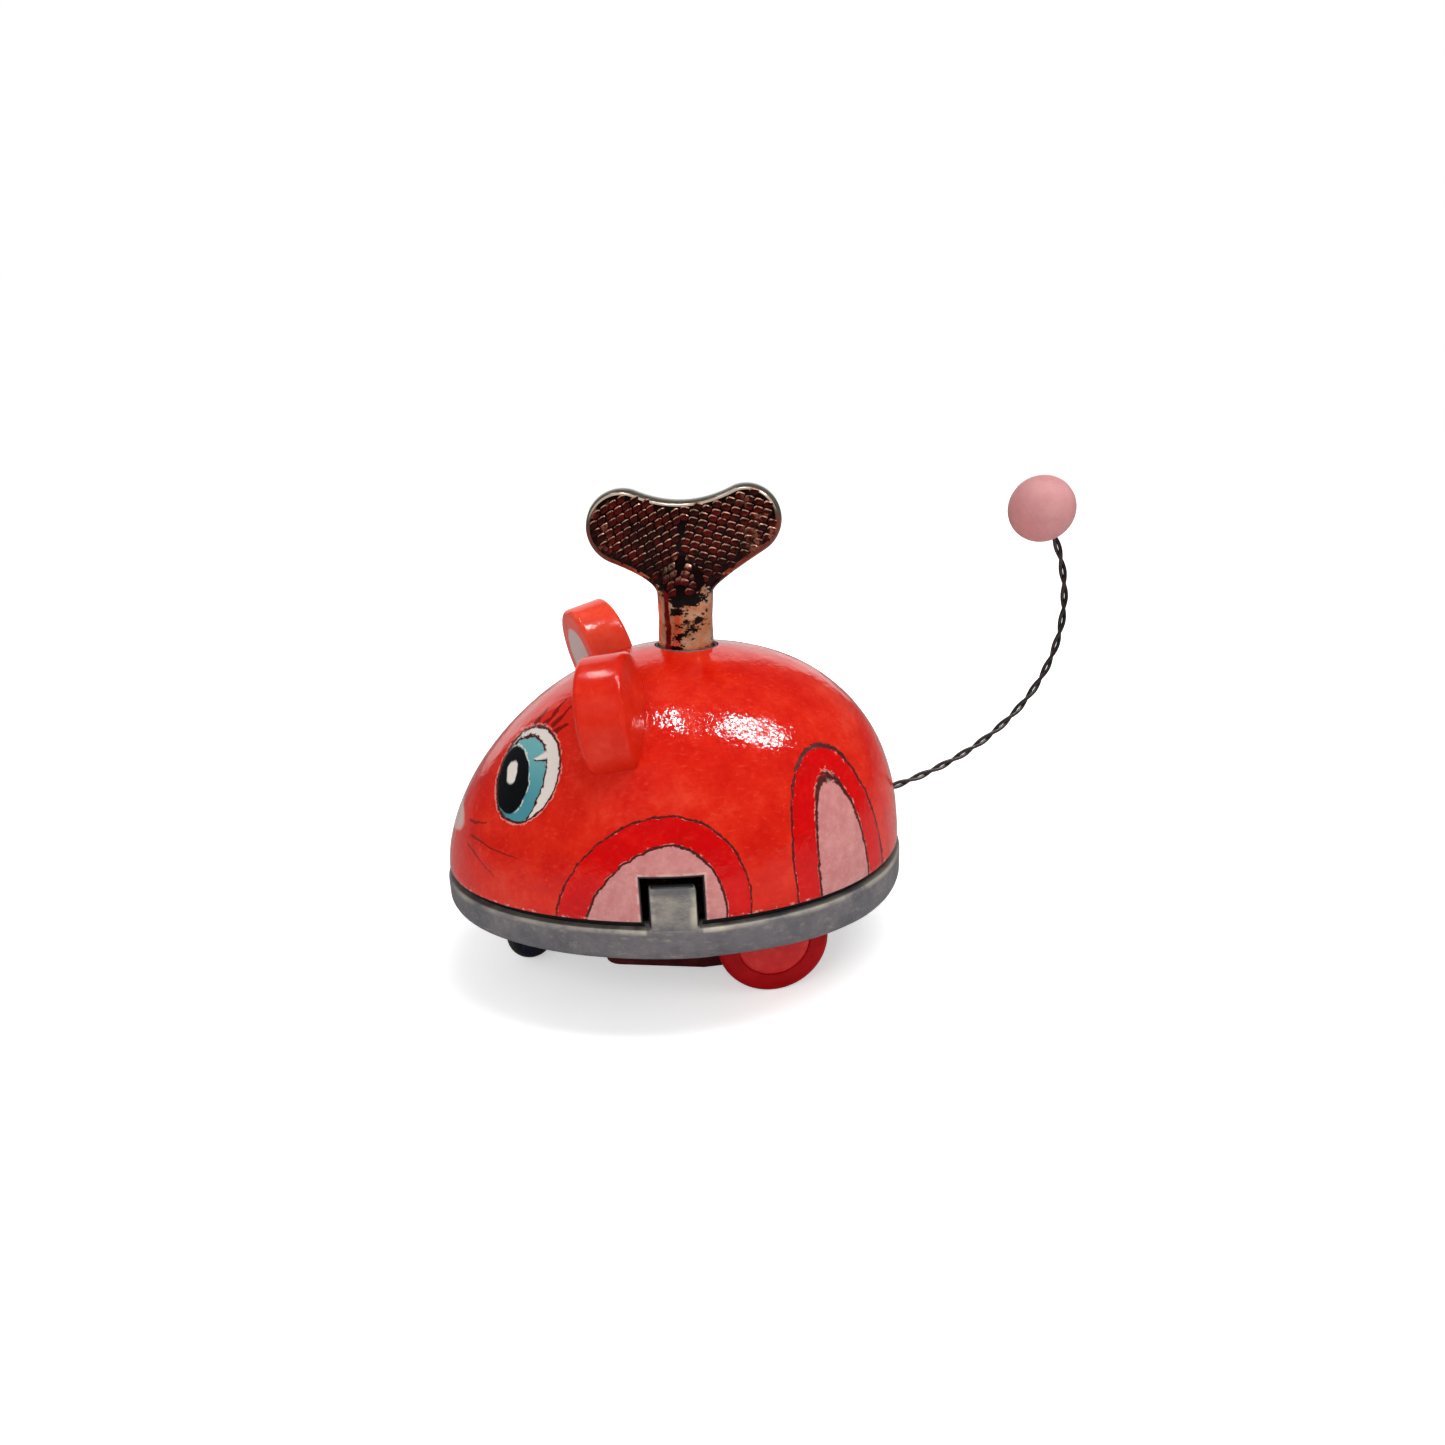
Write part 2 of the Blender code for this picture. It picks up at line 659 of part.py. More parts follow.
def lobe_edge(offset, foot_angle):
    """One side of the key's outline above its neck: out round the lobe to the brow by the notch."""
    centre = Vector((offset, KEY_LOBE_RISE))
    foot = centre + KEY_LOBE_RADIUS * Vector((math.cos(foot_angle), math.sin(foot_angle)))
    side = KEY_STEM_RADIUS
    bend = Vector((side, foot.y + (foot.x - side) / math.tan(foot_angle)))
    flare = [tuple(bezier([(side, 0), bend, foot], i / 5)) for i in range(5)]
    angles = [math.degrees(angle) for angle in (foot_angle, KEY_BROW)]
    return [(side, -side)] + flare + arc(*centre, KEY_LOBE_RADIUS, *angles, 10)


def make_key():
    """The winding key, its bush in the shell, and the arbor that it turns."""
    neck = CROWN_OVER_KEY + KEY_NECK_RISE
    rear = lobe_edge(KEY_REAR_LOBE, KEY_REAR_FOOT)
    front = [(-x, y) for x, y in lobe_edge(KEY_FRONT_LOBE, KEY_FRONT_FOOT)[::-1]]
    brows = [Vector(rear[-1]), Vector(front[0])]
    dip = (brows[0] + brows[1]) / 2
    dip.y += (brows[0].x - brows[1].x) / 2 / math.tan(KEY_BROW)
    notch = [tuple(bezier([brows[0], dip, brows[1]], i / 6)) for i in range(1, 6)]
    outline = [(x, y + neck) for x, y in rear + notch + front]
    half = KEY_BOW_THICKNESS / 2
    key = plate("winding_key", KEY_AXIS, [outline], -half, half, upright=True)
    bevel = key.modifiers.new("rounded edges", "BEVEL")
    bevel.width = KEY_BOW_ROUND
    bevel.segments = 1
    bevel.limit_method = "ANGLE"
    bevel.angle_limit = math.radians(60)
    stem = [(0, neck), (KEY_STEM_RADIUS, neck), (KEY_STEM_RADIUS, KEY_FOOT), (0, KEY_FOOT)]
    combine(key, turned("key_stem", KEY_AXIS, stem, sides=WHEEL_SIDES), "UNION")
    square = KEY_SQUARE / 2 + SEAT
    socket_top = KEY_FOOT + KEY_SOCKET_DEPTH
    low, high = (-square, -square, KEY_FOOT - CUT), (square, square, socket_top)
    combine(key, block("key_socket", KEY_AXIS, low, high))
    key.rotation_euler.z = -KEY_TURN
    paint(key, BRONZE, 0.32, 0.9)

    flange = BUSH_OUTER + BUSH_FLANGE
    seat = min(dome_height(0, side * flange, -SHELL_WALL) for side in (-1, 1)) - SEAT
    seat = min(seat, dome_height(flange, 0, -SHELL_WALL) - SEAT)
    inner = KEY_STEM_RADIUS + SEAT
    top = min(dome_height(0, BUSH_OUTER), dome_height(BUSH_OUTER, 0)) - SEAT
    profile = [(BUSH_OUTER, top), (BUSH_OUTER, seat), (flange, seat)]
    profile += [(flange, seat - BUSH_WALL), (inner, seat - BUSH_WALL), (inner, top)]
    bush = turned("key_bush", FRAME, profile, closed=True, sides=WHEEL_SIDES)
    paint(bush, PEWTER, 0.4, 0.9)

    pivot = ARBOR_RADIUS - 2 * SEAT
    collar = ARBOR_RADIUS + 2 * SEAT
    shoulder = KEY_FOOT - SEAT
    profile = [
        (0, shoulder),
        (ARBOR_COLLAR, shoulder),
        (ARBOR_COLLAR, shoulder - BUSH_WALL),
        (ARBOR_RADIUS, shoulder - BUSH_WALL),
        (ARBOR_RADIUS, GREAT_Z - SEAT),
        (collar, GREAT_Z - SEAT),
        (collar, BOTTOM_PLATE_TOP + SEAT),
        (pivot, BOTTOM_PLATE_TOP + SEAT),
        (pivot, BOTTOM_PLATE_Z),
        (0, BOTTOM_PLATE_Z),
    ]
    arbor = turned("arbor", KEY_AXIS, profile)
    square = KEY_SQUARE / 2
    low, high = (-square, -square, shoulder - CUT), (square, square, socket_top - SEAT)
    combine(arbor, block("arbor_square", KEY_AXIS, low, high), "UNION")
    arbor.rotation_euler.z = -KEY_TURN
    paint(arbor, STEEL, 0.35, 1.0)


def make_ratchet():
    """The ratchet on the arbor, and the click on the great wheel that it pushes."""
    pitch = 2 * math.pi / RATCHET_TEETH
    outline = []
    for number in range(RATCHET_TEETH):
        for radius, share in ((RATCHET_ROOT, 0.0), (RATCHET_TIP, 0.97), (RATCHET_TIP, 1.0)):
            angle = (number + share) * pitch
            outline.append((radius * math.cos(angle), radius * math.sin(angle)))
    hole = circle(ARBOR_RADIUS + RUN)
    ratchet = plate("ratchet_wheel", KEY_AXIS, [outline, hole], RATCHET_Z, RATCHET_TOP)
    paint(ratchet, STEEL, 0.4, 1.0)

    tip = Vector((RATCHET_ROOT + SEAT, CLICK_PLAY)) - CLICK_PIVOT
    heel = tip + Vector((CLICK_NOSE, 0))
    heading = math.degrees(math.atan2(tip.y + heel.y, tip.x + heel.x))
    eye = arc(0, 0, CLICK_EYE, heading + 90, heading + 270, 8)
    click = plate(
        "click",
        CLICK_AXIS,
        [[tuple(tip), tuple(heel)] + eye, circle(CLICK_RIVET + RUN, sides=SMALL_SIDES)],
        RATCHET_Z,
        RATCHET_TOP,
    )
    paint(click, STEEL, 0.4, 1.0)

    profile = [
        (0, RATCHET_TOP + SEAT + RIVET_HEAD),
        (RIVET_HEAD_RADIUS, RATCHET_TOP + SEAT + RIVET_HEAD),
        (RIVET_HEAD_RADIUS, RATCHET_TOP + SEAT),
        (CLICK_RIVET, RATCHET_TOP + SEAT),
        (CLICK_RIVET, GREAT_Z - RUN),
        (RIVET_HEAD_RADIUS, GREAT_Z - RUN),
        (RIVET_HEAD_RADIUS, GREAT_Z - RUN - RIVET_HEAD),
        (0, GREAT_Z - RUN - RIVET_HEAD),
    ]
    rivet = turned("click_rivet", GREAT_AXIS, profile, sides=SMALL_SIDES)
    rivet.location = (*CLICK_PIVOT, 0)
    paint(rivet, BRASS, 0.35, 1.0)

    level = (RATCHET_Z + RATCHET_TOP) / 2
    middle = CLICK_PIVOT + (tip + heel) * 0.4
    rest = Vector((middle.x + CLICK_NOSE + CLICK_PLAY + SPRING_WIRE, middle.y))
    foot = CLICK_SPRING_FOOT
    bend = 2 * SPRING_WIRE
    points = [
        (*foot, GREAT_Z + RUN),
        (*foot, level - bend),
        (*foot.lerp(rest, 0.12), level),
        (*rest, level),
    ]
    paint(wire("click_spring", GREAT_AXIS, points, SPRING_WIRE), BLUED, 0.3, 1.0)


def make_train():
    """Great wheel, layshaft with its pinion and crown wheel, and the pinion on the rear axle."""
    holes = [
        circle(ARBOR_RADIUS + RUN),
        circle(CLICK_RIVET + RUN, *CLICK_PIVOT, sides=SMALL_SIDES),
        circle(SPRING_WIRE + RUN, *CLICK_SPRING_FOOT, sides=SMALL_SIDES),
    ]
    ease = GREAT_RADIUS * 0.62
    hole_radius = GREAT_RADIUS * 0.17
    for degrees in (110, 160, 210, 260):
        angle = math.radians(degrees)
        holes.append(circle(hole_radius, ease * math.cos(angle), ease * math.sin(angle), SMALL_SIDES))
    great = plate(
        "great_wheel",
        GREAT_AXIS,
        [toothed_outline(GREAT_TEETH, 0.44, math.pi / 2), *holes],
        GREAT_Z,
        GREAT_TOP,
    )
    paint(great, BRASS, 0.35, 1.0)

    half_pitch = math.pi / PINION_LEAVES
    lay_edge = toothed_outline(PINION_LEAVES, 0.40, -math.pi / 2 + half_pitch)
    lay_pinion = plate(
        "lay_pinion",
        LAY_AXIS,
        [lay_edge, circle(LAYSHAFT_RADIUS + RUN)],
        GREAT_Z - SEAT,
        GREAT_TOP + RUN,
    )
    paint(lay_pinion, STEEL, 0.35, 1.0)

    pivot = LAYSHAFT_RADIUS - SEAT
    profile = [
        (0, TOP_PLATE_TOP),
        (pivot, TOP_PLATE_TOP),
        (pivot, TOP_PLATE_Z - SEAT),
        (LAYSHAFT_RADIUS, TOP_PLATE_Z - SEAT),
        (LAYSHAFT_RADIUS, CROWN_BOTTOM),
        (0, CROWN_BOTTOM),
    ]
    paint(turned("layshaft", LAY_AXIS, profile), STEEL, 0.35, 1.0)

    inner, outer = CROWN_RADIUS - CROWN_FACE / 2, CROWN_RADIUS + CROWN_FACE / 2
    crown = ring(
        "crown_wheel", LAY_AXIS, LAYSHAFT_RADIUS + RUN, outer, CROWN_BOTTOM, CROWN_TOP, 2 * CROWN_TEETH
    )
    root, tip = 0.46 * math.pi * MODULE / 2, 0.20 * math.pi * MODULE / 2
    bm = bmesh.new()
    for number in range(CROWN_TEETH):
        made = bmesh.ops.create_cube(bm, size=2.0)["verts"]
        for vert in made:
            x, y, z = vert.co
            width = root if z > 0 else tip
            height = CROWN_BOTTOM + CROWN_DISC / 2 if z > 0 else CROWN_PITCH_Z - ADDENDUM
            reach = outer - RUN if x > 0 else inner
            vert.co = (reach, y * width, height)
        turn = Matrix.Rotation(2 * math.pi * number / CROWN_TEETH, 4, "Z")
        bmesh.ops.transform(bm, matrix=turn, verts=made)
    combine(crown, add_piece("crown_teeth", mesh_from(bm, "crown_teeth"), LAY_AXIS), "UNION")
    paint(crown, BRASS, 0.35, 1.0)

    edge = toothed_outline(PINION_LEAVES, 0.40, math.pi + half_pitch)
    pinion = plate(
        "axle_pinion",
        AXLE_AXIS,
        [edge, circle(AXLE_RADIUS + RUN)],
        CROWN_RADIUS - PINION_WIDTH / 2,
        CROWN_RADIUS + PINION_WIDTH / 2,
    )
    paint(pinion, BRASS, 0.35, 1.0)


def make_wheels():
    """Rear axle with its hubs and tyres, and the front roller in its fork."""
    web = WHEEL_WIDTH / 5
    axle_end = WHEEL_OUTER - web - SEAT
    profile = [(0, axle_end), (AXLE_RADIUS, axle_end), (AXLE_RADIUS, -axle_end), (0, -axle_end)]
    paint(turned("rear_axle", AXLE_AXIS, profile), STEEL, 0.35, 1.0)
    inner = HUB_RADIUS + RUN
    hole = AXLE_RADIUS + RUN
    half = WHEEL_WIDTH / 2
    sag = TYRE_ROUND / 2
    middle = (WHEEL_INNER + WHEEL_OUTER) / 2
    for side, name in ((1, "left"), (-1, "right")):
        hub_profile = [
            (0, half),
            (HUB_RADIUS - sag, half - sag / 2),
            (HUB_RADIUS, half - sag),
            (HUB_RADIUS, sag - half),
            (hole, sag - half),
            (hole, half - web),
            (0, half - web),
        ]
        hub = turned(f"wheel_hub_{name}", AXLE_AXIS, hub_profile, sides=WHEEL_SIDES)
        tyre_profile = [
            (inner, half - sag),
            (WHEEL_RADIUS - TYRE_ROUND, half),
            (WHEEL_RADIUS - TYRE_ROUND * 0.3, half - TYRE_ROUND * 0.3),
            (WHEEL_RADIUS, half - TYRE_ROUND),
            (WHEEL_RADIUS, TYRE_ROUND - half),
            (WHEEL_RADIUS - TYRE_ROUND * 0.3, TYRE_ROUND * 0.3 - half),
            (WHEEL_RADIUS - TYRE_ROUND, -half),
            (inner, sag - half),
        ]
        tyre = turned(f"tyre_{name}", AXLE_AXIS, tyre_profile, closed=True, sides=WHEEL_SIDES)
        for piece in (hub, tyre):
            piece.location.z = side * middle
            piece.rotation_euler.x = 0.0 if side > 0 else math.pi
        paint(hub, DISC_RED, 0.35)
        paint(tyre, TYRE_RED, 0.45)

    half = ROLLER_WIDTH / 2
    hole = ROLLER_PIN_RADIUS + RUN
    end = math.degrees(math.asin(half / ROLLER_RADIUS))
    profile = arc(0, 0, ROLLER_RADIUS, end, -end, 6) + [(hole, -half), (hole, half)]
    paint(turned("front_roller", ROLLER_AXIS, profile, closed=True), DARK, 0.5)

    cheek_inner = half + SEAT
    cheek_outer = cheek_inner + FORK_THICKNESS
    top = BASE_Z - SEAT
    eye = ROLLER_PIN_RADIUS + 0.0018
    cheek = arc(ROLLER_Y, ROLLER_RADIUS, eye, 180, 360, 8)
    cheek += [(ROLLER_Y + ROLLER_RADIUS, top), (ROLLER_Y - ROLLER_RADIUS, top)]
    hole = circle(ROLLER_PIN_RADIUS + RUN, ROLLER_Y, ROLLER_RADIUS, SMALL_SIDES)
    fork = plate("front_fork", FRAME, [cheek, hole], cheek_inner, cheek_outer, upright=True)
    other = plate("fork_cheek", FRAME, [cheek, hole], -cheek_outer, -cheek_inner, upright=True)
    bridge = block(
        "fork_bridge",
        FRAME,
        (-cheek_outer + RUN, ROLLER_Y - ROLLER_RADIUS + RUN, top - FORK_THICKNESS),
        (cheek_outer - RUN, ROLLER_Y + ROLLER_RADIUS - RUN, top - RUN),
    )
    combine(fork, bridge, "UNION")
    combine(fork, other, "UNION")
    low, high = (0, ROLLER_Y, top - FORK_THICKNESS - CUT), (0, ROLLER_Y, top + CUT)
    combine(fork, rod("fork_hole", FRAME, SCREW_RADIUS + RUN, low, high, SMALL_SIDES))
    paint(fork, STEEL, 0.4, 1.0)

    head = ROLLER_PIN_RADIUS + 0.0006
    face = cheek_outer + SEAT
    end = face + RIVET_HEAD
    profile = [(0, end), (head, end), (head, face), (ROLLER_PIN_RADIUS, face)]
    profile += [(radius, -height) for radius, height in profile[::-1]]
    paint(turned("roller_pin", ROLLER_AXIS, profile), STEEL, 0.35, 1.0)
    low, high = top - FORK_THICKNESS - SEAT, FLOOR_Z + SEAT
    rivet_profile = headed_profile(SCREW_RADIUS, SCREW_HEAD, low, high)
    rivet = turned("fork_rivet", FRAME, rivet_profile, sides=SMALL_SIDES)
    rivet.location.y = ROLLER_Y
    paint(rivet, STEEL, 0.4, 1.0)


def headed_profile(shank, head, low, high):
    """A rivet with a thin head outside each of two heights."""
    return [
        (0, high + RIVET_HEAD),
        (head, high + RIVET_HEAD),
        (head, high),
        (shank, high),
        (shank, low),
        (head, low),
        (head, low - RIVET_HEAD),
        (0, low - RIVET_HEAD),
    ]


def screw_profile(low, high):
    """A screw with its head downwards: the head starts at low and the shank ends at high."""
    return [
        (0, high),
        (SCREW_RADIUS, high),
        (SCREW_RADIUS, low + SCREW_HEAD_HEIGHT),
        (SCREW_HEAD, low + SCREW_HEAD_HEIGHT),
        (SCREW_HEAD, low),
        (0, low),
    ]


def make_motor_frame():
    """Two plates on four pillars, the mainspring above them and the post that holds its end."""
    edge = rounded_box(-PLATE_HALF_WIDTH, -PLATE_FRONT, PLATE_HALF_WIDTH, PLATE_REAR, PILLAR_INSET)
    bottom_holes = [circle(ARBOR_RADIUS - 2 * SEAT + RUN), circle(LAYSHAFT_RADIUS + RUN, 0, LAY_Y)]
    bottom_holes += [circle(SCREW_RADIUS + RUN, x, y, SMALL_SIDES) for x, y in PILLAR_PLACES]
    bottom = plate("bottom_plate", FRAME, [edge, *bottom_holes], BOTTOM_PLATE_Z, BOTTOM_PLATE_TOP)
    tenon = PILLAR_RADIUS - 2 * SEAT
    top_holes = [circle(ARBOR_RADIUS + RUN), circle(LAYSHAFT_RADIUS - SEAT + RUN, 0, LAY_Y)]
    top_holes += [circle(tenon + RUN, x, y, SMALL_SIDES) for x, y in PILLAR_PLACES]
    top_holes.append(circle(SPRING_POST_RADIUS + RUN, 0, SPRING_POST_Y, SMALL_SIDES))
    top = plate("top_plate", FRAME, [edge, *top_holes], TOP_PLATE_Z, TOP_PLATE_TOP)
    for piece in (bottom, top):
        paint(piece, BRASS, 0.4, 1.0)

    head = TOP_PLATE_TOP + SEAT
    low = BOTTOM_PLATE_TOP + SEAT
    bore = low + PILLAR_RADIUS * 2
    profile = [
        (0, head + PILLAR_HEAD),
        (PILLAR_RADIUS, head + PILLAR_HEAD),
        (PILLAR_RADIUS, head),
        (tenon, head),
        (tenon, TOP_PLATE_Z - SEAT),
        (PILLAR_RADIUS, TOP_PLATE_Z - SEAT),
        (PILLAR_RADIUS, low),
        (SCREW_RADIUS + RUN, low),
        (SCREW_RADIUS + RUN, bore),
        (0, bore),
    ]
    screw_low = BASE_Z - SEAT - SCREW_HEAD_HEIGHT
    for number, (x, y) in enumerate(PILLAR_PLACES, 1):
        pillar = turned(f"pillar_{number}", FRAME, profile, sides=SMALL_SIDES)
        threaded = screw_profile(screw_low, bore - SEAT)
        screw = turned(f"frame_screw_{number}", FRAME, threaded, sides=SMALL_SIDES)
        for piece in (pillar, screw):
            piece.location = (x, y, 0)
        paint(pillar, BRASS, 0.35, 1.0)
        paint(screw, STEEL, 0.4, 1.0)

    start = ARBOR_RADIUS + SEAT + SPRING_STRIP / 2
    steps = SPRING_STEPS * SPRING_TURNS
    outer, inner = [], []
    for i in range(steps + 1):
        angle = 2 * math.pi * SPRING_TURNS * i / steps - math.pi / 2
        radius = start + (SPRING_OUTER - start) * i / steps
        for edge_points, shift in ((outer, SPRING_STRIP / 2), (inner, -SPRING_STRIP / 2)):
            away = radius + shift
            edge_points.append((away * math.cos(angle), away * math.sin(angle)))
    spring = plate("mainspring", FRAME, [outer + inner[::-1]], SPRING_Z, SPRING_TOP)
    paint(spring, BLUED, 0.3, 1.0)
    post = rod(
        "spring_post",
        FRAME,
        SPRING_POST_RADIUS,
        (0, SPRING_POST_Y, TOP_PLATE_Z),
        (0, SPRING_POST_Y, SPRING_TOP),
        16,
    )
    paint(post, STEEL, 0.35, 1.0)


def housing_bottom(y):
    """Height of the housing's underside, which rises towards the front."""
    return HOUSING_Z + HOUSING_SLOPE_RISE * max(0.0, HOUSING_LEVEL_Y - y) / HOUSING_SLOPE


def housing_wedge(name, lift):
    """What lies below the housing's rising underside, moved up by lift."""
    front = -HOUSING_FRONT - CUT
    outline = [
        (HOUSING_LEVEL_Y, HOUSING_Z + lift),
        (front, housing_bottom(front) + lift),
        (front, HOUSING_Z - CUT),
        (HOUSING_LEVEL_Y, HOUSING_Z - CUT),
    ]
    return plate(name, FRAME, [outline], -HOUSING_HALF - CUT, HOUSING_HALF + CUT, upright=True)


def make_housing():
    """The maroon box under the base, which carries the rear axle in two bushes."""
    outer = rounded_box(-HOUSING_HALF, -HOUSING_FRONT, HOUSING_HALF, HOUSING_REAR, HOUSING_CORNER)
    wall = HOUSING_WALL
    room = HOUSING_HALF - wall
    inner = rounded_box(
        -room, wall - HOUSING_FRONT, room, HOUSING_REAR - wall, HOUSING_CORNER / 2, 2
    )
    housing = plate("drive_housing", FRAME, [outer], HOUSING_Z, HOUSING_TOP)
    combine(housing, housing_wedge("housing_slope", 0.0))
    hollow = plate("housing_inside", FRAME, [inner], HOUSING_Z + wall, HOUSING_TOP + CUT)
    combine(hollow, housing_wedge("inside_slope", wall))
    combine(housing, hollow)
    for number, (x, y) in enumerate(BOSS_PLACES, 1):
        low, high = (x, y, housing_bottom(y) + wall / 2), (x, y, HOUSING_TOP - RUN)
        boss = rod(f"housing_boss_{number}", FRAME, BOSS_RADIUS, low, high, SMALL_SIDES)
        combine(housing, boss, "UNION")
    for number, (x, y) in enumerate(BOSS_PLACES, 1):
        recess = housing_bottom(y) + SCREW_HEAD_HEIGHT + 2 * SEAT
        low, high = (x, y, HOUSING_Z - CUT), (x, y, recess)
        sink = rod(f"screw_recess_{number}", FRAME, SCREW_HEAD + RUN, low, high, SMALL_SIDES)
        combine(housing, sink)
        low, high = (x, y, HOUSING_Z), (x, y, HOUSING_TOP + CUT)
        bore = rod(f"screw_bore_{number}", FRAME, SCREW_RADIUS + RUN, low, high, SMALL_SIDES)
        combine(housing, bore)
    bush_outer = AXLE_RADIUS + 2 * HOUSING_WALL / 2
    reach = HOUSING_HALF + CUT
    combine(
        housing,
        rod("axle_bore", FRAME, bush_outer + RUN, (-reach, LAY_Y, AXLE_Z), (reach, LAY_Y, AXLE_Z)),
    )
    paint(housing, MAROON, 0.4)

    for number, (x, y) in enumerate(BOSS_PLACES, 1):
        profile = screw_profile(housing_bottom(y) + SEAT, FLOOR_Z - RUN)
        screw = turned(f"housing_screw_{number}", FRAME, profile, sides=SMALL_SIDES)
        screw.location = (x, y, 0)
        paint(screw, STEEL, 0.4, 1.0)

    inside = HOUSING_HALF - wall - SEAT
    hole = AXLE_RADIUS + RUN
    flange = bush_outer + HOUSING_WALL / 2
    profile = [
        (bush_outer, HOUSING_HALF),
        (bush_outer, inside),
        (flange, inside),
        (flange, inside - wall / 2),
        (hole, inside - wall / 2),
        (hole, HOUSING_HALF),
    ]
    for side, name in ((1, "left"), (-1, "right")):
        bush = turned(f"axle_bush_{name}", FRAME, profile, closed=True)
        bush.location = (0, LAY_Y, AXLE_Z)
        bush.rotation_euler.y = side * math.pi / 2
        paint(bush, BRASS, 0.35, 1.0)


def make_tail():
    """Two wires twisted together, the ferrule that holds them inside the shell, and the ball."""
    middle = tail_path()
    across = Vector((1, 0, 0))
    lengths = [0.0]
    for a, b in zip(middle, middle[1:]):
        lengths.append(lengths[-1] + (b - a).length)
    count = round(WIRE_STEPS * lengths[-1] / WIRE_PITCH)
    strands = ([], [])
    for step in range(count + 1):
        along = min(lengths[-1] * step / count, lengths[-1])
        i = max(k for k in range(len(middle) - 1) if lengths[k] <= along)
        share = (along - lengths[i]) / (lengths[i + 1] - lengths[i])
        heading = (middle[i + 1] - middle[i]).normalized()
        point = middle[i].lerp(middle[i + 1], share)
        normal = Vector((0, -heading.y, heading.x))
        for number, strand in enumerate(strands):
            turn = 2 * math.pi * along / WIRE_PITCH + number * math.pi
            offset = (normal * math.cos(turn) + across * math.sin(turn)) * TWIST_OFFSET
            strand.append(Vector((0, *point)) + offset)
    for number, strand in enumerate(strands, 1):
        paint(wire(f"tail_strand_{number}", FRAME, strand, WIRE_RADIUS), TAIL_STEEL, 0.35, 1.0)

    heading = Vector((0, math.cos(TAIL_START), math.sin(TAIL_START)))
    lead = TAIL_ROOT - heading * TAIL_LEAD
    bore = TWIST_RADIUS + RUN
    length = FERRULE_LENGTH - SEAT
    ferrule = ring("tail_ferrule", FRAME, bore, bore + FERRULE_WALL, RUN, length)
    ferrule.location = lead
    ferrule.rotation_euler.x = TAIL_START - math.pi / 2
    paint(ferrule, BRASS, 0.4, 1.0)

    bm = bmesh.new()
    bmesh.ops.create_uvsphere(bm, u_segments=ROUND_SIDES, v_segments=SMALL_SIDES, radius=BALL_RADIUS)
    ball = add_piece("tail_ball", mesh_from(bm, "tail_ball"), FRAME)
    ball.location = BALL_CENTRE
    hole = rod(
        "ball_hole",
        FRAME,
        TWIST_RADIUS + SEAT,
        BALL_CENTRE - TAIL_END_HEADING * (BALL_RADIUS + CUT),
        TAIL_TIP + TAIL_END_HEADING * SEAT,
        16,
    )
    combine(ball, hole)
    paint(ball, PINK, 0.55)


# Places that need the shapes above
CROWN_OVER_KEY = dome_height(0, 0)
BUSH_OUTER = KEY_STEM_RADIUS + SEAT + BUSH_WALL
KEY_FOOT = CROWN_OVER_KEY - SHELL_WALL - KEY_SOCKET_DEPTH
ARBOR_COLLAR = KEY_SQUARE
TWIST_OFFSET = WIRE_RADIUS + RUN / 2
TWIST_RADIUS = TWIST_OFFSET + WIRE_RADIUS
SPRING_WIRE = 0.0003
CLICK_SPRING_FOOT = Vector((CLICK_PIVOT_RADIUS, -CLICK_EYE))

for make in (
    make_shell,
    make_base,
    make_ears,
    make_key,
    make_ratchet,
    make_train,
    make_motor_frame,
    make_housing,
    make_wheels,
    make_tail,
):
    make()
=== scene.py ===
import json
import math

import bmesh
import bpy
from mathutils import Euler, Matrix, Vector, noise

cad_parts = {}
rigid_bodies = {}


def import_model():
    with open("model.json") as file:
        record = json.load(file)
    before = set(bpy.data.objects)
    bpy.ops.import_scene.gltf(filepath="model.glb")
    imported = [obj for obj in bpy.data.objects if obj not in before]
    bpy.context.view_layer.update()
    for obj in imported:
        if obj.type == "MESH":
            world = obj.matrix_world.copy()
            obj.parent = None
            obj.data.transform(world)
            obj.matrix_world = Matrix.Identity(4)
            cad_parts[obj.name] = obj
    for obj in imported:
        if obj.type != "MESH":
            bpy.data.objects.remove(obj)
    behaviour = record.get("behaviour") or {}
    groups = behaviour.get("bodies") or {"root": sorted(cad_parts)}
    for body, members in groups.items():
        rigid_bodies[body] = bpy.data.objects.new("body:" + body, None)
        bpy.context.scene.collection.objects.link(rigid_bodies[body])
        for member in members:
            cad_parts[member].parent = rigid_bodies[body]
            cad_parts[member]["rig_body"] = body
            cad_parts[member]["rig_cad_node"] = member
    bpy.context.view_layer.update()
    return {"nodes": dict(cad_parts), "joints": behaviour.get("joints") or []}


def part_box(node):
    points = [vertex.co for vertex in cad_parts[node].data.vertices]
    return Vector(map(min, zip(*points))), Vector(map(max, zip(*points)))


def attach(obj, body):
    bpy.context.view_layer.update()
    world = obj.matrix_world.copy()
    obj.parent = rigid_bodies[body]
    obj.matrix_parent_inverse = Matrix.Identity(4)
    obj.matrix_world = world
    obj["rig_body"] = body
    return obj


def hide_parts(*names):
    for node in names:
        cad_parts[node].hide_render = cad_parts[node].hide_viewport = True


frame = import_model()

jointAt = {joint["name"]: Vector(joint["pos_m"]) for joint in frame["joints"]}
keyY = jointAt["key_turn"].y  # sizes along the body are measured from the key's axis
axleAt = jointAt["axle_spin"]
rollerAt = jointAt["roller_spin"]
scene = bpy.context.scene
print("frame loaded:", len(frame["nodes"]), "nodes")


# small helpers for colours and meshes

def linear(red, green, blue):  # display values of 0-255 to linear colour
    unit = [value / 255 for value in (red, green, blue)]
    return [v / 12.92 if v <= 0.04045 else ((v + 0.055) / 1.055) ** 2.4 for v in unit] + [1.0]


def tones(**look):  # a dictionary of looks, its colours made linear
    return {key: linear(*value) if isinstance(value, tuple) else value for key, value in look.items()}


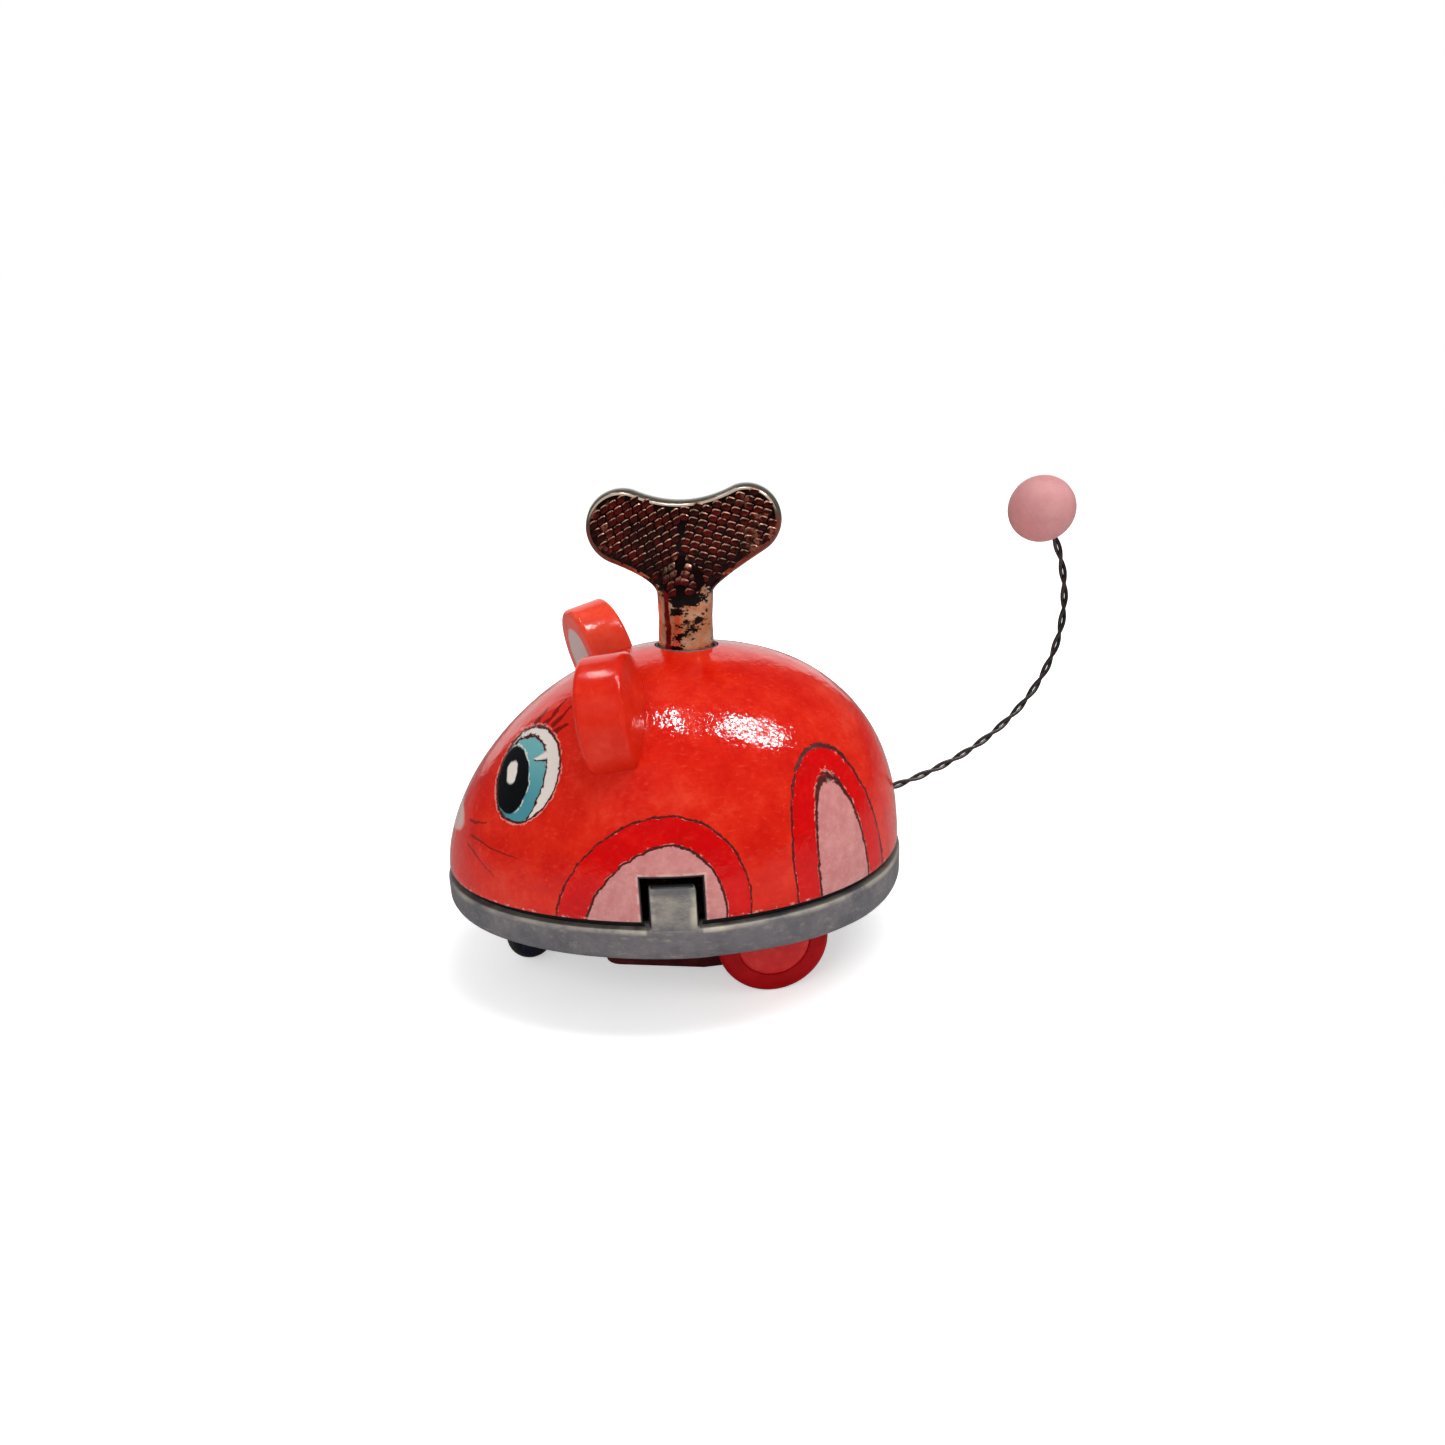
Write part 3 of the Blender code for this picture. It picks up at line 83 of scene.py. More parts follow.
def smoothPiece(piece, sharp=40):
    piece.data.shade_smooth()
    piece.data.set_sharp_from_angle(angle=math.radians(sharp))
    return piece


def addObject(name, data):
    added = bpy.data.objects.new(name, data)
    scene.collection.objects.link(added)
    return added


def plainMesh(piece):  # the mesh as its modifiers leave it
    bpy.context.view_layer.update()
    graph = bpy.context.evaluated_depsgraph_get()
    return bpy.data.meshes.new_from_object(piece.evaluated_get(graph))


def pieceFrom(bm, name, sharp=40):
    bmesh.ops.recalc_face_normals(bm, faces=bm.faces)
    mesh = bpy.data.meshes.new(name)
    bm.to_mesh(mesh)
    bm.free()
    return smoothPiece(addObject(name, mesh), sharp)


def settle(piece, sharp=40):  # modifiers become plain mesh
    mesh = plainMesh(piece)
    piece.modifiers.clear()
    piece.data = mesh
    return smoothPiece(piece, sharp)


def cutBy(piece, cutters, sharp=40):
    for cutter in cutters:
        modifier = piece.modifiers.new("cut", "BOOLEAN")
        modifier.operation = "DIFFERENCE"
        modifier.solver = "EXACT"
        modifier.object = cutter
    settle(piece, sharp)
    for cutter in cutters:
        bpy.data.objects.remove(cutter)
    return piece


def skinRings(bm, rings, firstPole=None, lastPole=None, loop=False):
    rows = [[bm.verts.new(point) for point in ring] for ring in rings]
    pairs = list(zip(rows, rows[1:])) + ([(rows[-1], rows[0])] if loop else [])
    for low, high in pairs:
        for i in range(len(low)):
            bm.faces.new((low[i - 1], low[i], high[i], high[i - 1]))
    for pole, row in ((firstPole, rows[0]), (lastPole, rows[-1])):
        if loop:
            continue
        if pole is None:
            bm.faces.new(row)
        else:
            tip = bm.verts.new(pole)
            for i in range(len(row)):
                bm.faces.new((row[i - 1], row[i], tip))
    return rows


def roundAngles(count):
    return [2 * math.pi * i / count for i in range(count)]


def turnProfile(bm, profile, sides, loop=False):  # (radius, height) points turned round Z
    firstPole = lastPole = None
    if not loop and profile[0][0] == 0:
        firstPole = (0, 0, profile[0][1])
        profile = profile[1:]
    if not loop and profile[-1][0] == 0:
        lastPole = (0, 0, profile[-1][1])
        profile = profile[:-1]
    angles = roundAngles(sides)
    rings = [[(r * math.cos(a), r * math.sin(a), h) for a in angles] for r, h in profile]
    return skinRings(bm, rings, firstPole, lastPole, loop)


def arcPoints(x, y, radius, start, end, steps):  # angles in degrees, both ends included
    angles = [math.radians(start + (end - start) * i / steps) for i in range(steps + 1)]
    return [(x + radius * math.cos(a), y + radius * math.sin(a)) for a in angles]


def bezierPoint(points, share):
    points = [Vector(point) for point in points]
    while len(points) > 1:
        points = [a.lerp(b, share) for a, b in zip(points, points[1:])]
    return points[0]


def axesAt(angle):  # two directions in a plane, at right angles
    along = Vector((math.cos(angle), math.sin(angle)))
    return along, Vector((-along.y, along.x))


def turnTo(heading):  # from upright to a heading
    return Vector((0, 0, 1)).rotation_difference(heading).to_matrix().to_4x4()


def boxPiece(name, low, high):
    bm = bmesh.new()
    bmesh.ops.create_cube(bm, size=1.0)
    low, high = Vector(low), Vector(high)
    bmesh.ops.scale(bm, vec=high - low, verts=bm.verts)
    bmesh.ops.translate(bm, vec=(low + high) / 2, verts=bm.verts)
    return pieceFrom(bm, name)


def drillPiece(name, radius, start, end, sides=48):
    start, end = Vector(start), Vector(end)
    bm = bmesh.new()
    bmesh.ops.create_cone(bm, cap_ends=True, segments=sides, radius1=radius, radius2=radius,
                          depth=(end - start).length)
    placed = Matrix.Translation((start + end) / 2) @ turnTo(end - start)
    bmesh.ops.transform(bm, matrix=placed, verts=bm.verts)
    return pieceFrom(bm, name)


def platePiece(name, outline, thickness, edgeRound, steps=3):  # upright: outline in Y and Z
    curve = bpy.data.curves.new(name, "CURVE")
    curve.dimensions = "2D"
    curve.fill_mode = "BOTH"
    curve.extrude = thickness / 2 - edgeRound
    curve.bevel_depth = edgeRound
    curve.bevel_resolution = steps
    curve.offset = -edgeRound
    spline = curve.splines.new("POLY")
    spline.points.add(len(outline) - 1)
    for point, (x, y) in zip(spline.points, outline):
        point.co = (x, y, 0, 1)
    spline.use_cyclic_u = True
    drawn = addObject(name + "Outline", curve)
    flat = plainMesh(drawn)
    bpy.data.objects.remove(drawn)
    bm = bmesh.new()
    bm.from_mesh(flat)
    bmesh.ops.remove_doubles(bm, verts=bm.verts, dist=1e-6)
    standing = Matrix(((0, 0, 1, 0), (1, 0, 0, 0), (0, 1, 0, 0), (0, 0, 0, 1)))
    bmesh.ops.transform(bm, matrix=standing, verts=bm.verts)
    return bm


# small helpers for shader nodes, which go into the tree opened last

opened = dict(tree=None)


def join(value, socket):  # a socket is linked, anything else is set
    if isinstance(value, bpy.types.NodeSocket):
        opened["tree"].links.new(value, socket)
    else:
        socket.default_value = value


def put(kind, inputs=None, **settings):
    node = opened["tree"].nodes.new(kind)
    for key, value in settings.items():
        setattr(node, key, value)
    for key, value in (inputs or {}).items():
        join(value, node.inputs[key])
    return node


def maths(operation, a, b=0.0, c=0.0, clamp=False):
    return put("ShaderNodeMath", {0: a, 1: b, 2: c}, operation=operation, use_clamp=clamp).outputs[0]


def plus(a, b, clamp=False):
    return maths("ADD", a, b, clamp=clamp)


def minus(a, b):
    return maths("SUBTRACT", a, b)


def times(a, *others):
    for b in others:
        a = maths("MULTIPLY", a, b)
    return a


def larger(a, b):
    return maths("MAXIMUM", a, b)


def unsigned(a):
    return maths("ABSOLUTE", a)


def vectors(operation, a, b=(0, 0, 0), output=0, scale=None):
    node = put("ShaderNodeVectorMath", {0: a, 1: b}, operation=operation)
    if scale is not None:
        join(scale, node.inputs["Scale"])
    return node.outputs[output]


def split(point):
    return put("ShaderNodeSeparateXYZ", {0: point}).outputs


def ramp(value, low, high, toLow=0.0, toHigh=1.0):  # smooth step between two values
    return put("ShaderNodeMapRange", {0: value, 1: low, 2: high, 3: toLow, 4: toHigh},
               interpolation_type="SMOOTHSTEP").outputs[0]


def blend(factor, first, second):
    return put("ShaderNodeMix", {0: factor, 6: first, 7: second}, data_type="RGBA").outputs[2]


def speckle(point, scale, detail=2.0, rough=0.5, stretch=None):
    if stretch is not None:
        point = vectors("MULTIPLY", point, stretch)
    return put("ShaderNodeTexNoise",
               {"Vector": point, "Scale": scale, "Detail": detail, "Roughness": rough}).outputs


def newGroup(name, inputs, **outputs):  # an input's kind follows from its value
    group = bpy.data.node_groups.new(name, "ShaderNodeTree")
    opened["tree"] = group
    for label, value in inputs.items():
        kind = {3: "Vector", 4: "Color"}[len(value)] if isinstance(value, tuple) else "Float"
        socket = group.interface.new_socket(label, in_out="INPUT", socket_type="NodeSocket" + kind)
        socket.default_value = value
    for label, kind in outputs.items():
        group.interface.new_socket(label.title(), in_out="OUTPUT", socket_type="NodeSocket" + kind)
    return group, put("NodeGroupInput").outputs, put("NodeGroupOutput").inputs


def place(group, inputs):
    return put("ShaderNodeGroup", inputs, node_tree=group).outputs


def newMaterial(name):
    material = bpy.data.materials.new(name)
    material.use_nodes = True
    opened["tree"] = material.node_tree
    shader = material.node_tree.nodes["Principled BSDF"]
    return material, shader, put("ShaderNodeTexCoord").outputs["Object"]


def wire(shader, **links):  # sockets by name, with spaces left out
    for socket in shader.inputs:
        label = socket.name.replace(" ", "")
        label = label[0].lower() + label[1:]
        if label in links:
            join(links[label], socket)


def bumpFrom(height, depth):
    return put("ShaderNodeBump", {"Height": height, "Distance": depth, "Strength": 1.0}).outputs[0]


def finishAs(piece, material, body, node):
    piece.data.materials.clear()
    piece.data.materials.append(material)
    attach(piece, body)
    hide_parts(node)


# shader groups, placed in the finishes further down

# hand-laid colour: broad cloudy patches, brush streaks and a fine grain
brushedColour, enter, leave = newGroup("brushedColour", {
    "Point": (0, 0, 0), "Colour": (0.5, 0.5, 0.5, 1), "Deep": (0.3, 0.3, 0.3, 1),
    "Pale": (0.7, 0.7, 0.7, 1), "Patch": 90.0, "Grain": 900.0}, colour="Color", cloud="Float")
cloud = speckle(enter["Point"], enter["Patch"], 7.0, 0.70)[0]
streak = speckle(enter["Point"], enter["Grain"], 2.0, 0.6, (1.0, 0.35, 1.0))[0]
deeper = blend(ramp(cloud, 0.62, 0.30), enter["Colour"], enter["Deep"])
paler = blend(ramp(cloud, 0.52, 0.80), deeper, enter["Pale"])
grainy = blend(ramp(streak, 0.55, 0.78, 0.0, 0.55), paler, enter["Pale"])
join(blend(ramp(streak, 0.45, 0.22, 0.0, 0.5), grainy, enter["Deep"]), leave["Colour"])
join(cloud, leave["Cloud"])


def brushOn(point, main, deep, pale, patch, grain):
    return place(brushedColour, {"Point": point, "Colour": main, "Deep": deep, "Pale": pale,
                                 "Patch": patch, "Grain": grain})


# glaze that didn't quite level out, as a height
orangePeel, enter, leave = newGroup("orangePeel", {
    "Point": (0, 0, 0), "Fine": 1000.0, "Broad": 160.0}, height="Float")
fine = speckle(enter["Point"], enter["Fine"], 2.0, 0.55)[0]
broad = speckle(enter["Point"], enter["Broad"], 1.0, 0.5)[0]
join(plus(times(fine, 0.40), broad), leave["Height"])

# distance to a leaning oval's edge, negative inside, in the Y-Z plane of the point
ovalShape, enter, leave = newGroup("ovalShape", {
    "Point": (0, 0, 0), "Centre": (0, 0, 0), "Half": (1, 1, 1), "Lean": 0.0,
    "Reach": 1.0}, distance="Float")
apart = vectors("SUBTRACT", enter["Point"], enter["Centre"])
turned = put("ShaderNodeVectorRotate", {"Vector": apart, "Angle": enter["Lean"]},
             rotation_type="X_AXIS").outputs[0]
flat = vectors("MULTIPLY", vectors("DIVIDE", turned, enter["Half"]), (0, 1, 1))
radius = vectors("LENGTH", flat, output=1)
join(times(minus(radius, 1.0), enter["Reach"]), leave["Distance"])

# a tapering brush stroke between two points, as a mask
strokeShape, enter, leave = newGroup("strokeShape", {
    "Point": (0, 0, 0), "From": (0, 0, 0), "To": (0, 0, 0), "Width": 0.0003,
    "Tip": 0.0001}, mask="Float")
along = vectors("SUBTRACT", enter["To"], enter["From"])
apart = vectors("SUBTRACT", enter["Point"], enter["From"])
share = maths("DIVIDE", vectors("DOT_PRODUCT", apart, along, 1),
              vectors("DOT_PRODUCT", along, along, 1), clamp=True)
foot = vectors("SCALE", along, scale=share)
away = vectors("LENGTH", vectors("SUBTRACT", apart, foot), output=1)
width = plus(enter["Width"], times(share, minus(enter["Tip"], enter["Width"])))
join(ramp(away, times(width, 1.25), times(width, 0.55)), leave["Mask"])

# distance to a leaning arch's edge, negative inside, in the Y-Z plane of the point
archShape, enter, leave = newGroup("archShape", {
    "Point": (0, 0, 0), "Middle": 0.0, "Foot": 0.0, "Lean": 0.0, "Bow": 0.0, "Half": 1.0, "Tall": 1.0,
    "Power": 2.0}, distance="Float")
parts = split(enter["Point"])
height = minus(parts[2], enter["Foot"])
lean = times(height, enter["Lean"])
bow = times(height, height, enter["Bow"])
across = minus(parts[1], plus(enter["Middle"], plus(lean, bow)))
terms = [maths("POWER", unsigned(maths("DIVIDE", value, size)),
               enter["Power"])
         for value, size in ((across, enter["Half"]), (height, enter["Tall"]))]
radius = maths("POWER", plus(*terms), maths("DIVIDE", 1.0, enter["Power"]))
join(times(minus(radius, 1.0), enter["Half"]), leave["Distance"])

# a scratched outline that breaks up here and there, as a mask
scratchedLine, enter, leave = newGroup("scratchedLine", {
    "Distance": 0.0, "Point": (0, 0, 0), "Width": 0.0003, "Broken": 0.45}, mask="Float")
gaps = speckle(enter["Point"], 620.0, 3.0, 0.65)[0]
shake = minus(speckle(enter["Point"], 1500.0, 2.0, 0.6)[0], 0.5)
shaken = plus(enter["Distance"], times(shake, 0.0006))
line = ramp(unsigned(shaken), times(enter["Width"], 1.2), times(enter["Width"], 0.6))
kept = ramp(gaps, minus(enter["Broken"], 0.05), plus(enter["Broken"], 0.06))
join(times(line, kept), leave["Mask"])

# dull metal: brushed shade and a roughness that varies
workedMetal, enter, leave = newGroup("workedMetal", {
    "Point": (0, 0, 0), "Colour": (0.5, 0.5, 0.5, 1), "Tarnish": (0.2, 0.2, 0.2, 1),
    "Scale": 400.0}, colour="Color", roughness="Float", height="Float")
brushed = speckle(enter["Point"], enter["Scale"], 3.0, 0.6, (1.0, 1.0, 0.12))[0]
spots = speckle(enter["Point"], times(enter["Scale"], 0.45), 4.0, 0.6)[0]
join(blend(ramp(spots, 0.50, 0.78, 0.0, 0.7), enter["Colour"], enter["Tarnish"]), leave["Colour"])
join(ramp(spots, 0.3, 0.75, 0.26, 0.52), leave["Roughness"])
join(brushed, leave["Height"])
print("shader groups made")


# body form shared by the shell, base and ears

bodyForm = dict(noseReach=0.0610, rumpReach=0.0504, halfWidth=0.0460, widestY=-0.0040,
                sidePower=2.10, nosePower=1.62, rumpPower=2.20, domeHeight=0.0500,
                crownY=-0.0058, sideDome=2.06, noseDome=1.72, rumpDome=2.40,
                baseZ=0.0194325, baseTop=0.0284325, rimZ=0.0287325, ledge=0.0272325)


def bodyEnd(rear):  # reach from the widest place, power of the outline and power of the dome
    form = bodyForm
    if rear:
        return form["rumpReach"] - form["widestY"], form["rumpPower"], form["rumpDome"]
    return form["noseReach"] + form["widestY"], form["nosePower"], form["noseDome"]


def planPoint(angle, grow=0.0):  # on the body's outline from above, angle 0 at the rump
    form = bodyForm
    along, across = math.cos(angle), math.sin(angle)
    reach, power = bodyEnd(along > 0)[:2]
    x = (form["halfWidth"] + grow) * math.copysign(abs(across) ** (2 / form["sidePower"]), across)
    y = form["widestY"] + (reach + grow) * math.copysign(abs(along) ** (2 / power), along)
    return x, y + keyY


def planRing(sides, height, grow):
    return [(*planPoint(angle, grow), height) for angle in roundAngles(sides)]


def domePoint(angle, rise, grow=0.0):  # rise 0 at the dome's foot, 1 at its crown
    form = bodyForm
    endPower = bodyEnd(math.cos(angle) > 0)[2]
    power = form["sideDome"] + (endPower - form["sideDome"]) * math.cos(angle) ** 2
    shrink = (1 - rise ** power) ** (1 / power)
    x, y = planPoint(angle, grow)
    crown = form["crownY"] + keyY
    return Vector((x * shrink, crown + (y - crown) * shrink,
                   form["baseTop"] + (form["domeHeight"] + grow) * rise))


def domeRings(sides, count, grow, footZ):
    form = bodyForm
    start = math.asin(max(0.0, (footZ - form["baseTop"]) / (form["domeHeight"] + grow)))
    rises = [math.sin(start + (math.pi / 2 - start) * i / count) for i in range(count)]
    return [[domePoint(angle, rise, grow) for angle in roundAngles(sides)] for rise in rises]


def domePole(grow):
    return Vector((0, bodyForm["crownY"] + keyY, bodyForm["baseTop"] + bodyForm["domeHeight"] + grow))


def halfWidthAt(y):  # half the body's width, y from the key's axis
    form = bodyForm
    reach, power = bodyEnd(y > form["widestY"])[:2]
    share = abs((y - form["widestY"]) / reach) ** power
    return form["halfWidth"] * (1 - share) ** (1 / form["sidePower"])


def domeHeightAt(x, y):  # height of the dome's outside, y from the key's axis
    form = bodyForm
    low, high = 0.0, 1.0
    for step in range(40):
        shrink = (low + high) / 2
        along = form["crownY"] + (y - form["crownY"]) / shrink - form["widestY"]
        reach, power, endPower = bodyEnd(along > 0)
        lengthwise = abs(along / reach) ** power
        outside = abs(x / shrink / form["halfWidth"]) ** form["sidePower"] + lengthwise > 1
        low, high = (shrink, high) if outside else (low, shrink)
    power = form["sideDome"] + (endPower - form["sideDome"]) * lengthwise
    return form["baseTop"] + form["domeHeight"] * (1 - shrink ** power) ** (1 / power)


def onBody(y, z):  # a painted place: millimetres from the key's axis and above the floor
    return (0.0, keyY + y / 1000, z / 1000)


# the glazed shell

shellSizes = dict(wall=0.0030, footRound=0.0007, sides=216, rings=64, waviness=0.00013,
                  keyHole=0.0077, tailHole=0.00125, tailRise=0.0076, tailStart=math.radians(13.5),
                  tabY=-0.0105, notchHalf=0.00645, notchTop=0.0386325, notchFoot=0.024,
                  notchIn=0.004, notchOut=0.05)


def makeShell():
    size, form = shellSizes, bodyForm
    bm = bmesh.new()
    inner = domeRings(size["sides"], 24, -size["wall"], form["rimZ"])[::-1]
    outer = domeRings(size["sides"], size["rings"], 0.0, form["rimZ"] + size["footRound"])
    foot = []
    for inset, lift in ((1.0, 0.0), (0.3, 0.3)):  # rounded lower edge
        step = size["footRound"]
        rise = (form["rimZ"] + step * lift - form["baseTop"]) / form["domeHeight"]
        foot.append([domePoint(angle, rise, -step * inset) for angle in roundAngles(size["sides"])])
        for point in foot[-1]:
            point.z = form["rimZ"] + step * lift
    centre = Vector((0, form["crownY"] + keyY, form["baseTop"]))
    for ring in outer:  # the walls aren't perfectly even
        for point in ring:
            wave = noise.noise(point * 55) + 0.35 * noise.noise(point * 160)
            point += (point - centre).normalized() * wave * size["waviness"]
    skinRings(bm, inner + foot + outer, domePole(-size["wall"]), domePole(0.0))
    shell = pieceFrom(bm, "glazedShell")
    top = form["baseTop"] + form["domeHeight"]
    heading = Vector((0, math.cos(size["tailStart"]), math.sin(size["tailStart"])))
    root = domePoint(0.0, size["tailRise"] / form["domeHeight"])
    cutters = [drillPiece("keyHole", size["keyHole"], (0, keyY, top - 0.03), (0, keyY, top + 0.01), 72),
               drillPiece("tailHole", size["tailHole"], root - heading * 0.006, root + heading * 0.004)]
    inside = halfWidthAt(size["tabY"]) - size["wall"] - size["notchIn"]
    for side in (-1, 1):
        ends = sorted((side * inside, side * size["notchOut"]))
        middle, half = keyY + size["tabY"], size["notchHalf"]
        cutters.append(boxPiece("tabNotch", (ends[0], middle - half, size["notchFoot"]),
                                (ends[1], middle + half, size["notchTop"])))
    return cutBy(shell, cutters, 38)


# the groove colour is ink and painted shade for the notch and the rim's gap
glazeLook = tones(red=(222, 38, 17), deep=(206, 18, 6), pale=(230, 66, 44), band=(214, 0, 2),
                  bandDeep=(200, 0, 2), pink=(210, 141, 137), pinkDeep=(196, 122, 120),
                  pinkPale=(219, 158, 153), ink=(74, 18, 12), chalk=(226, 160, 146),
                  eyeWhite=(228, 218, 210), iris=(70, 142, 152), irisPale=(110, 172, 176),
                  pupil=(3, 5, 8), lash=(134, 8, 6), whisker=(112, 26, 18), nose=(220, 178, 168),
                  groove=(36, 31, 38), roughness=0.045, dullness=0.13, specular=0.40, dents=0.00026,
                  patch=105.0, grain=1300.0, peelFine=830.0, peelBroad=170.0)

# ovals on each side of the face: centre and half sizes in mm along and up, lean in degrees
faceOvals = dict(eye=((-38.71, 55.89), (5.46, 10.11), -36.4),
                 iris=((-42.11, 52.76), (4.73, 11.94), -34.7),
                 pupil=((-42.20, 54.40), (3.25, 6.35), -23.1),
                 glint=((-42.28, 55.92), (0.97, 2.29), -26.0))
faceStrokes = dict(
    lash=[((-37.1, 64.3), (-33.5, 67.6)), ((-34.7, 64.9), (-29.2, 69.8)),
          ((-32.6, 65.3), (-28.1, 69.0)), ((-32.0, 64.5), (-29.2, 66.3))],
    whisker=[((-53.2, 44.1), (-48.7, 45.3)), ((-52.7, 41.6), (-42.2, 40.1)),
             ((-53.7, 39.5), (-47.9, 35.1))],
    tick=[((-34.2, 60.4), (-36.9, 59.2))],
    tickLine=[((-36.9, 59.1), (-34.2, 59.5))])
noseMark = dict(height=0.0422, half=0.0125, tall=0.0034, ahead=0.044, soft=0.002)
archFoot = 0.0284
# middle, lean, bow, half width, height and power of each arch's outer and inner edge
archEdges = dict(front=((-14.65, 0.138, 0.048, 20.31, 22.36, 1.95),
                        (-14.09, 0.144, 0.091, 14.42, 16.74, 1.82)),
                 rear=((28.10, -0.110, -0.019, 11.56, 31.22, 2.25),
                       (28.51, -0.081, -0.039, 6.40, 25.20, 2.15)))


def redGlaze(name, look):
    material, shader, point = newMaterial(name)
    colour = brushOn(point, look["red"], look["deep"], look["pale"], look["patch"],
                     look["grain"])["Colour"]
    peel = place(orangePeel, {"Point": point, "Fine": look["peelFine"], "Broad": look["peelBroad"]})[0]
    wire(shader, specularIORLevel=look["specular"])
    return material, shader, point, colour, peel


def within(distance, soft=0.00012):
    return ramp(distance, soft, -soft)


def faceOval(flat, name):  # flat is the point as seen from the side
    (y, z), (half, tall), lean = faceOvals[name]
    return place(ovalShape, {
        "Point": flat, "Centre": onBody(y, z), "Half": (1.0, half / 1000, tall / 1000),
        "Lean": -math.radians(lean), "Reach": min(half, tall) / 1000})[0]


def strokesOf(flat, name, width, tip):
    masks = [place(strokeShape, {"Point": flat, "From": onBody(*start), "To": onBody(*end),
                                 "Width": width, "Tip": tip})[0]
             for start, end in faceStrokes[name]]
    total = masks[0]
    for mask in masks[1:]:
        total = larger(total, mask)
    return total


def scratched(point, distance, width, broken):
    return place(scratchedLine, {"Distance": distance, "Point": point, "Width": width,
                                 "Broken": broken})[0]


def paintArches(colour, point, flat):
    look = glazeLook
    band = brushOn(point, look["band"], look["bandDeep"], look["red"], 120.0, 900.0)["Colour"]
    pink = brushOn(point, look["pink"], look["pinkDeep"], look["pinkPale"], 260.0, 1500.0)["Colour"]
    inks = []
    for edges in archEdges.values():
        outer, inner = [place(archShape, {"Point": flat, "Middle": keyY + middle / 1000,
                                          "Foot": archFoot, "Lean": lean, "Bow": bow / 0.020,
                                          "Half": half / 1000, "Tall": tall / 1000, "Power": power})[0]
                        for middle, lean, bow, half, tall, power in edges]
        colour = blend(within(outer), colour, band)
        colour = blend(within(inner), colour, pink)
        chalk = scratched(point, plus(inner, -0.00028), 0.00012, 0.54)
        chalk = larger(chalk, scratched(point, plus(outer, 0.00030), 0.00009, 0.60))
        colour = blend(times(chalk, 0.7), colour, look["chalk"])
        ink = larger(scratched(point, outer, 0.00020, 0.34), scratched(point, inner, 0.00026, 0.32))
        colour = blend(ink, colour, look["ink"])
        inks.append(ink)
    return colour, larger(*inks)


def paintMuzzle(colour, flat, parts, wobble):
    look, mark = glazeLook, noseMark
    whiskers = times(strokesOf(flat, "whisker", 0.00030, 0.00012), 0.85)
    colour = blend(whiskers, colour, look["whisker"])
    noseFlat = put("ShaderNodeCombineXYZ", {1: parts[0], 2: parts[2]}).outputs[0]
    nose = place(ovalShape, {
        "Point": vectors("ADD", noseFlat, wobble), "Centre": (0, 0, mark["height"]),
        "Half": (1.0, mark["half"], mark["tall"]), "Reach": mark["tall"]})[0]
    front = ramp(parts[1], keyY - mark["ahead"], keyY - mark["ahead"] - mark["soft"])
    return blend(times(within(nose, 0.0003), front), colour, look["nose"])


def paintEye(colour, point, flat, parts):
    look = glazeLook
    eye, iris, pupil, glint = [faceOval(flat, name) for name in ("eye", "iris", "pupil", "glint")]
    colour = blend(strokesOf(flat, "lash", 0.00036, 0.00013), colour, look["lash"])
    eyeIn = within(eye)
    irisTone = blend(ramp(parts[2], 0.0500, 0.0630), look["iris"], look["irisPale"])
    paint = blend(within(iris), look["eyeWhite"], irisTone)
    paint = blend(scratched(point, iris, 0.00014, 0.30), paint, look["ink"])
    paint = blend(strokesOf(flat, "tick", 0.00062, 0.00016), paint, look["eyeWhite"])
    paint = blend(strokesOf(flat, "tickLine", 0.00014, 0.00012), paint, look["ink"])
    behind = ramp(parts[1], *[keyY + (faceOvals["pupil"][0][0] + y) / 1000 for y in (-0.5, 1.5)])
    halo = scratched(point, plus(pupil, -0.00008), 0.00013, 0.44)
    paint = blend(times(halo, behind), paint, look["eyeWhite"])
    paint = blend(within(pupil), paint, look["pupil"])
    paint = blend(within(glint), paint, look["eyeWhite"])
    colour = blend(eyeIn, colour, paint)
    border = scratched(point, plus(eye, -0.00028), 0.00010, 0.44)
    colour = blend(times(border, 0.35), colour, look["eyeWhite"])
    eyeLine = scratched(point, eye, 0.00016, 0.28)
    return blend(eyeLine, colour, look["ink"]), eyeLine


def paintEdges(colour, point, parts):  # dark edge of notch and rim, with chalky chips above it: ink round the notch's edge, and painted shade inside the notch and on the rim's underside over the gap to the base
    look, size = glazeLook, shellSizes
    apart = unsigned(minus(parts[1], keyY + size["tabY"]))

    def roundNotch(far, near):
        return times(ramp(apart, size["notchHalf"] + far, size["notchHalf"] + near),
                     ramp(parts[2], size["notchTop"] + far, size["notchTop"] + near))

    notch = roundNotch(0.0005, 0.0002)
    chips = speckle(point, 480.0, 4.0, 0.7)[0]
    raw = times(roundNotch(0.0010, 0.0006), ramp(chips, 0.44, 0.56))
    colour = blend(times(raw, 0.8), colour, look["nose"])
    lift = minus(parts[2], bodyForm["rimZ"])
    chipped = times(ramp(chips, 0.56, 0.60), ramp(lift, 0.0011, 0.0005))
    colour = blend(chipped, colour, look["chalk"])
    # painted shade and ink: the notch's inside and edge and the rim's underside go dark
    groove = larger(notch, ramp(lift, 0.00035, 0.00015))
    return blend(groove, colour, look["groove"]), groove


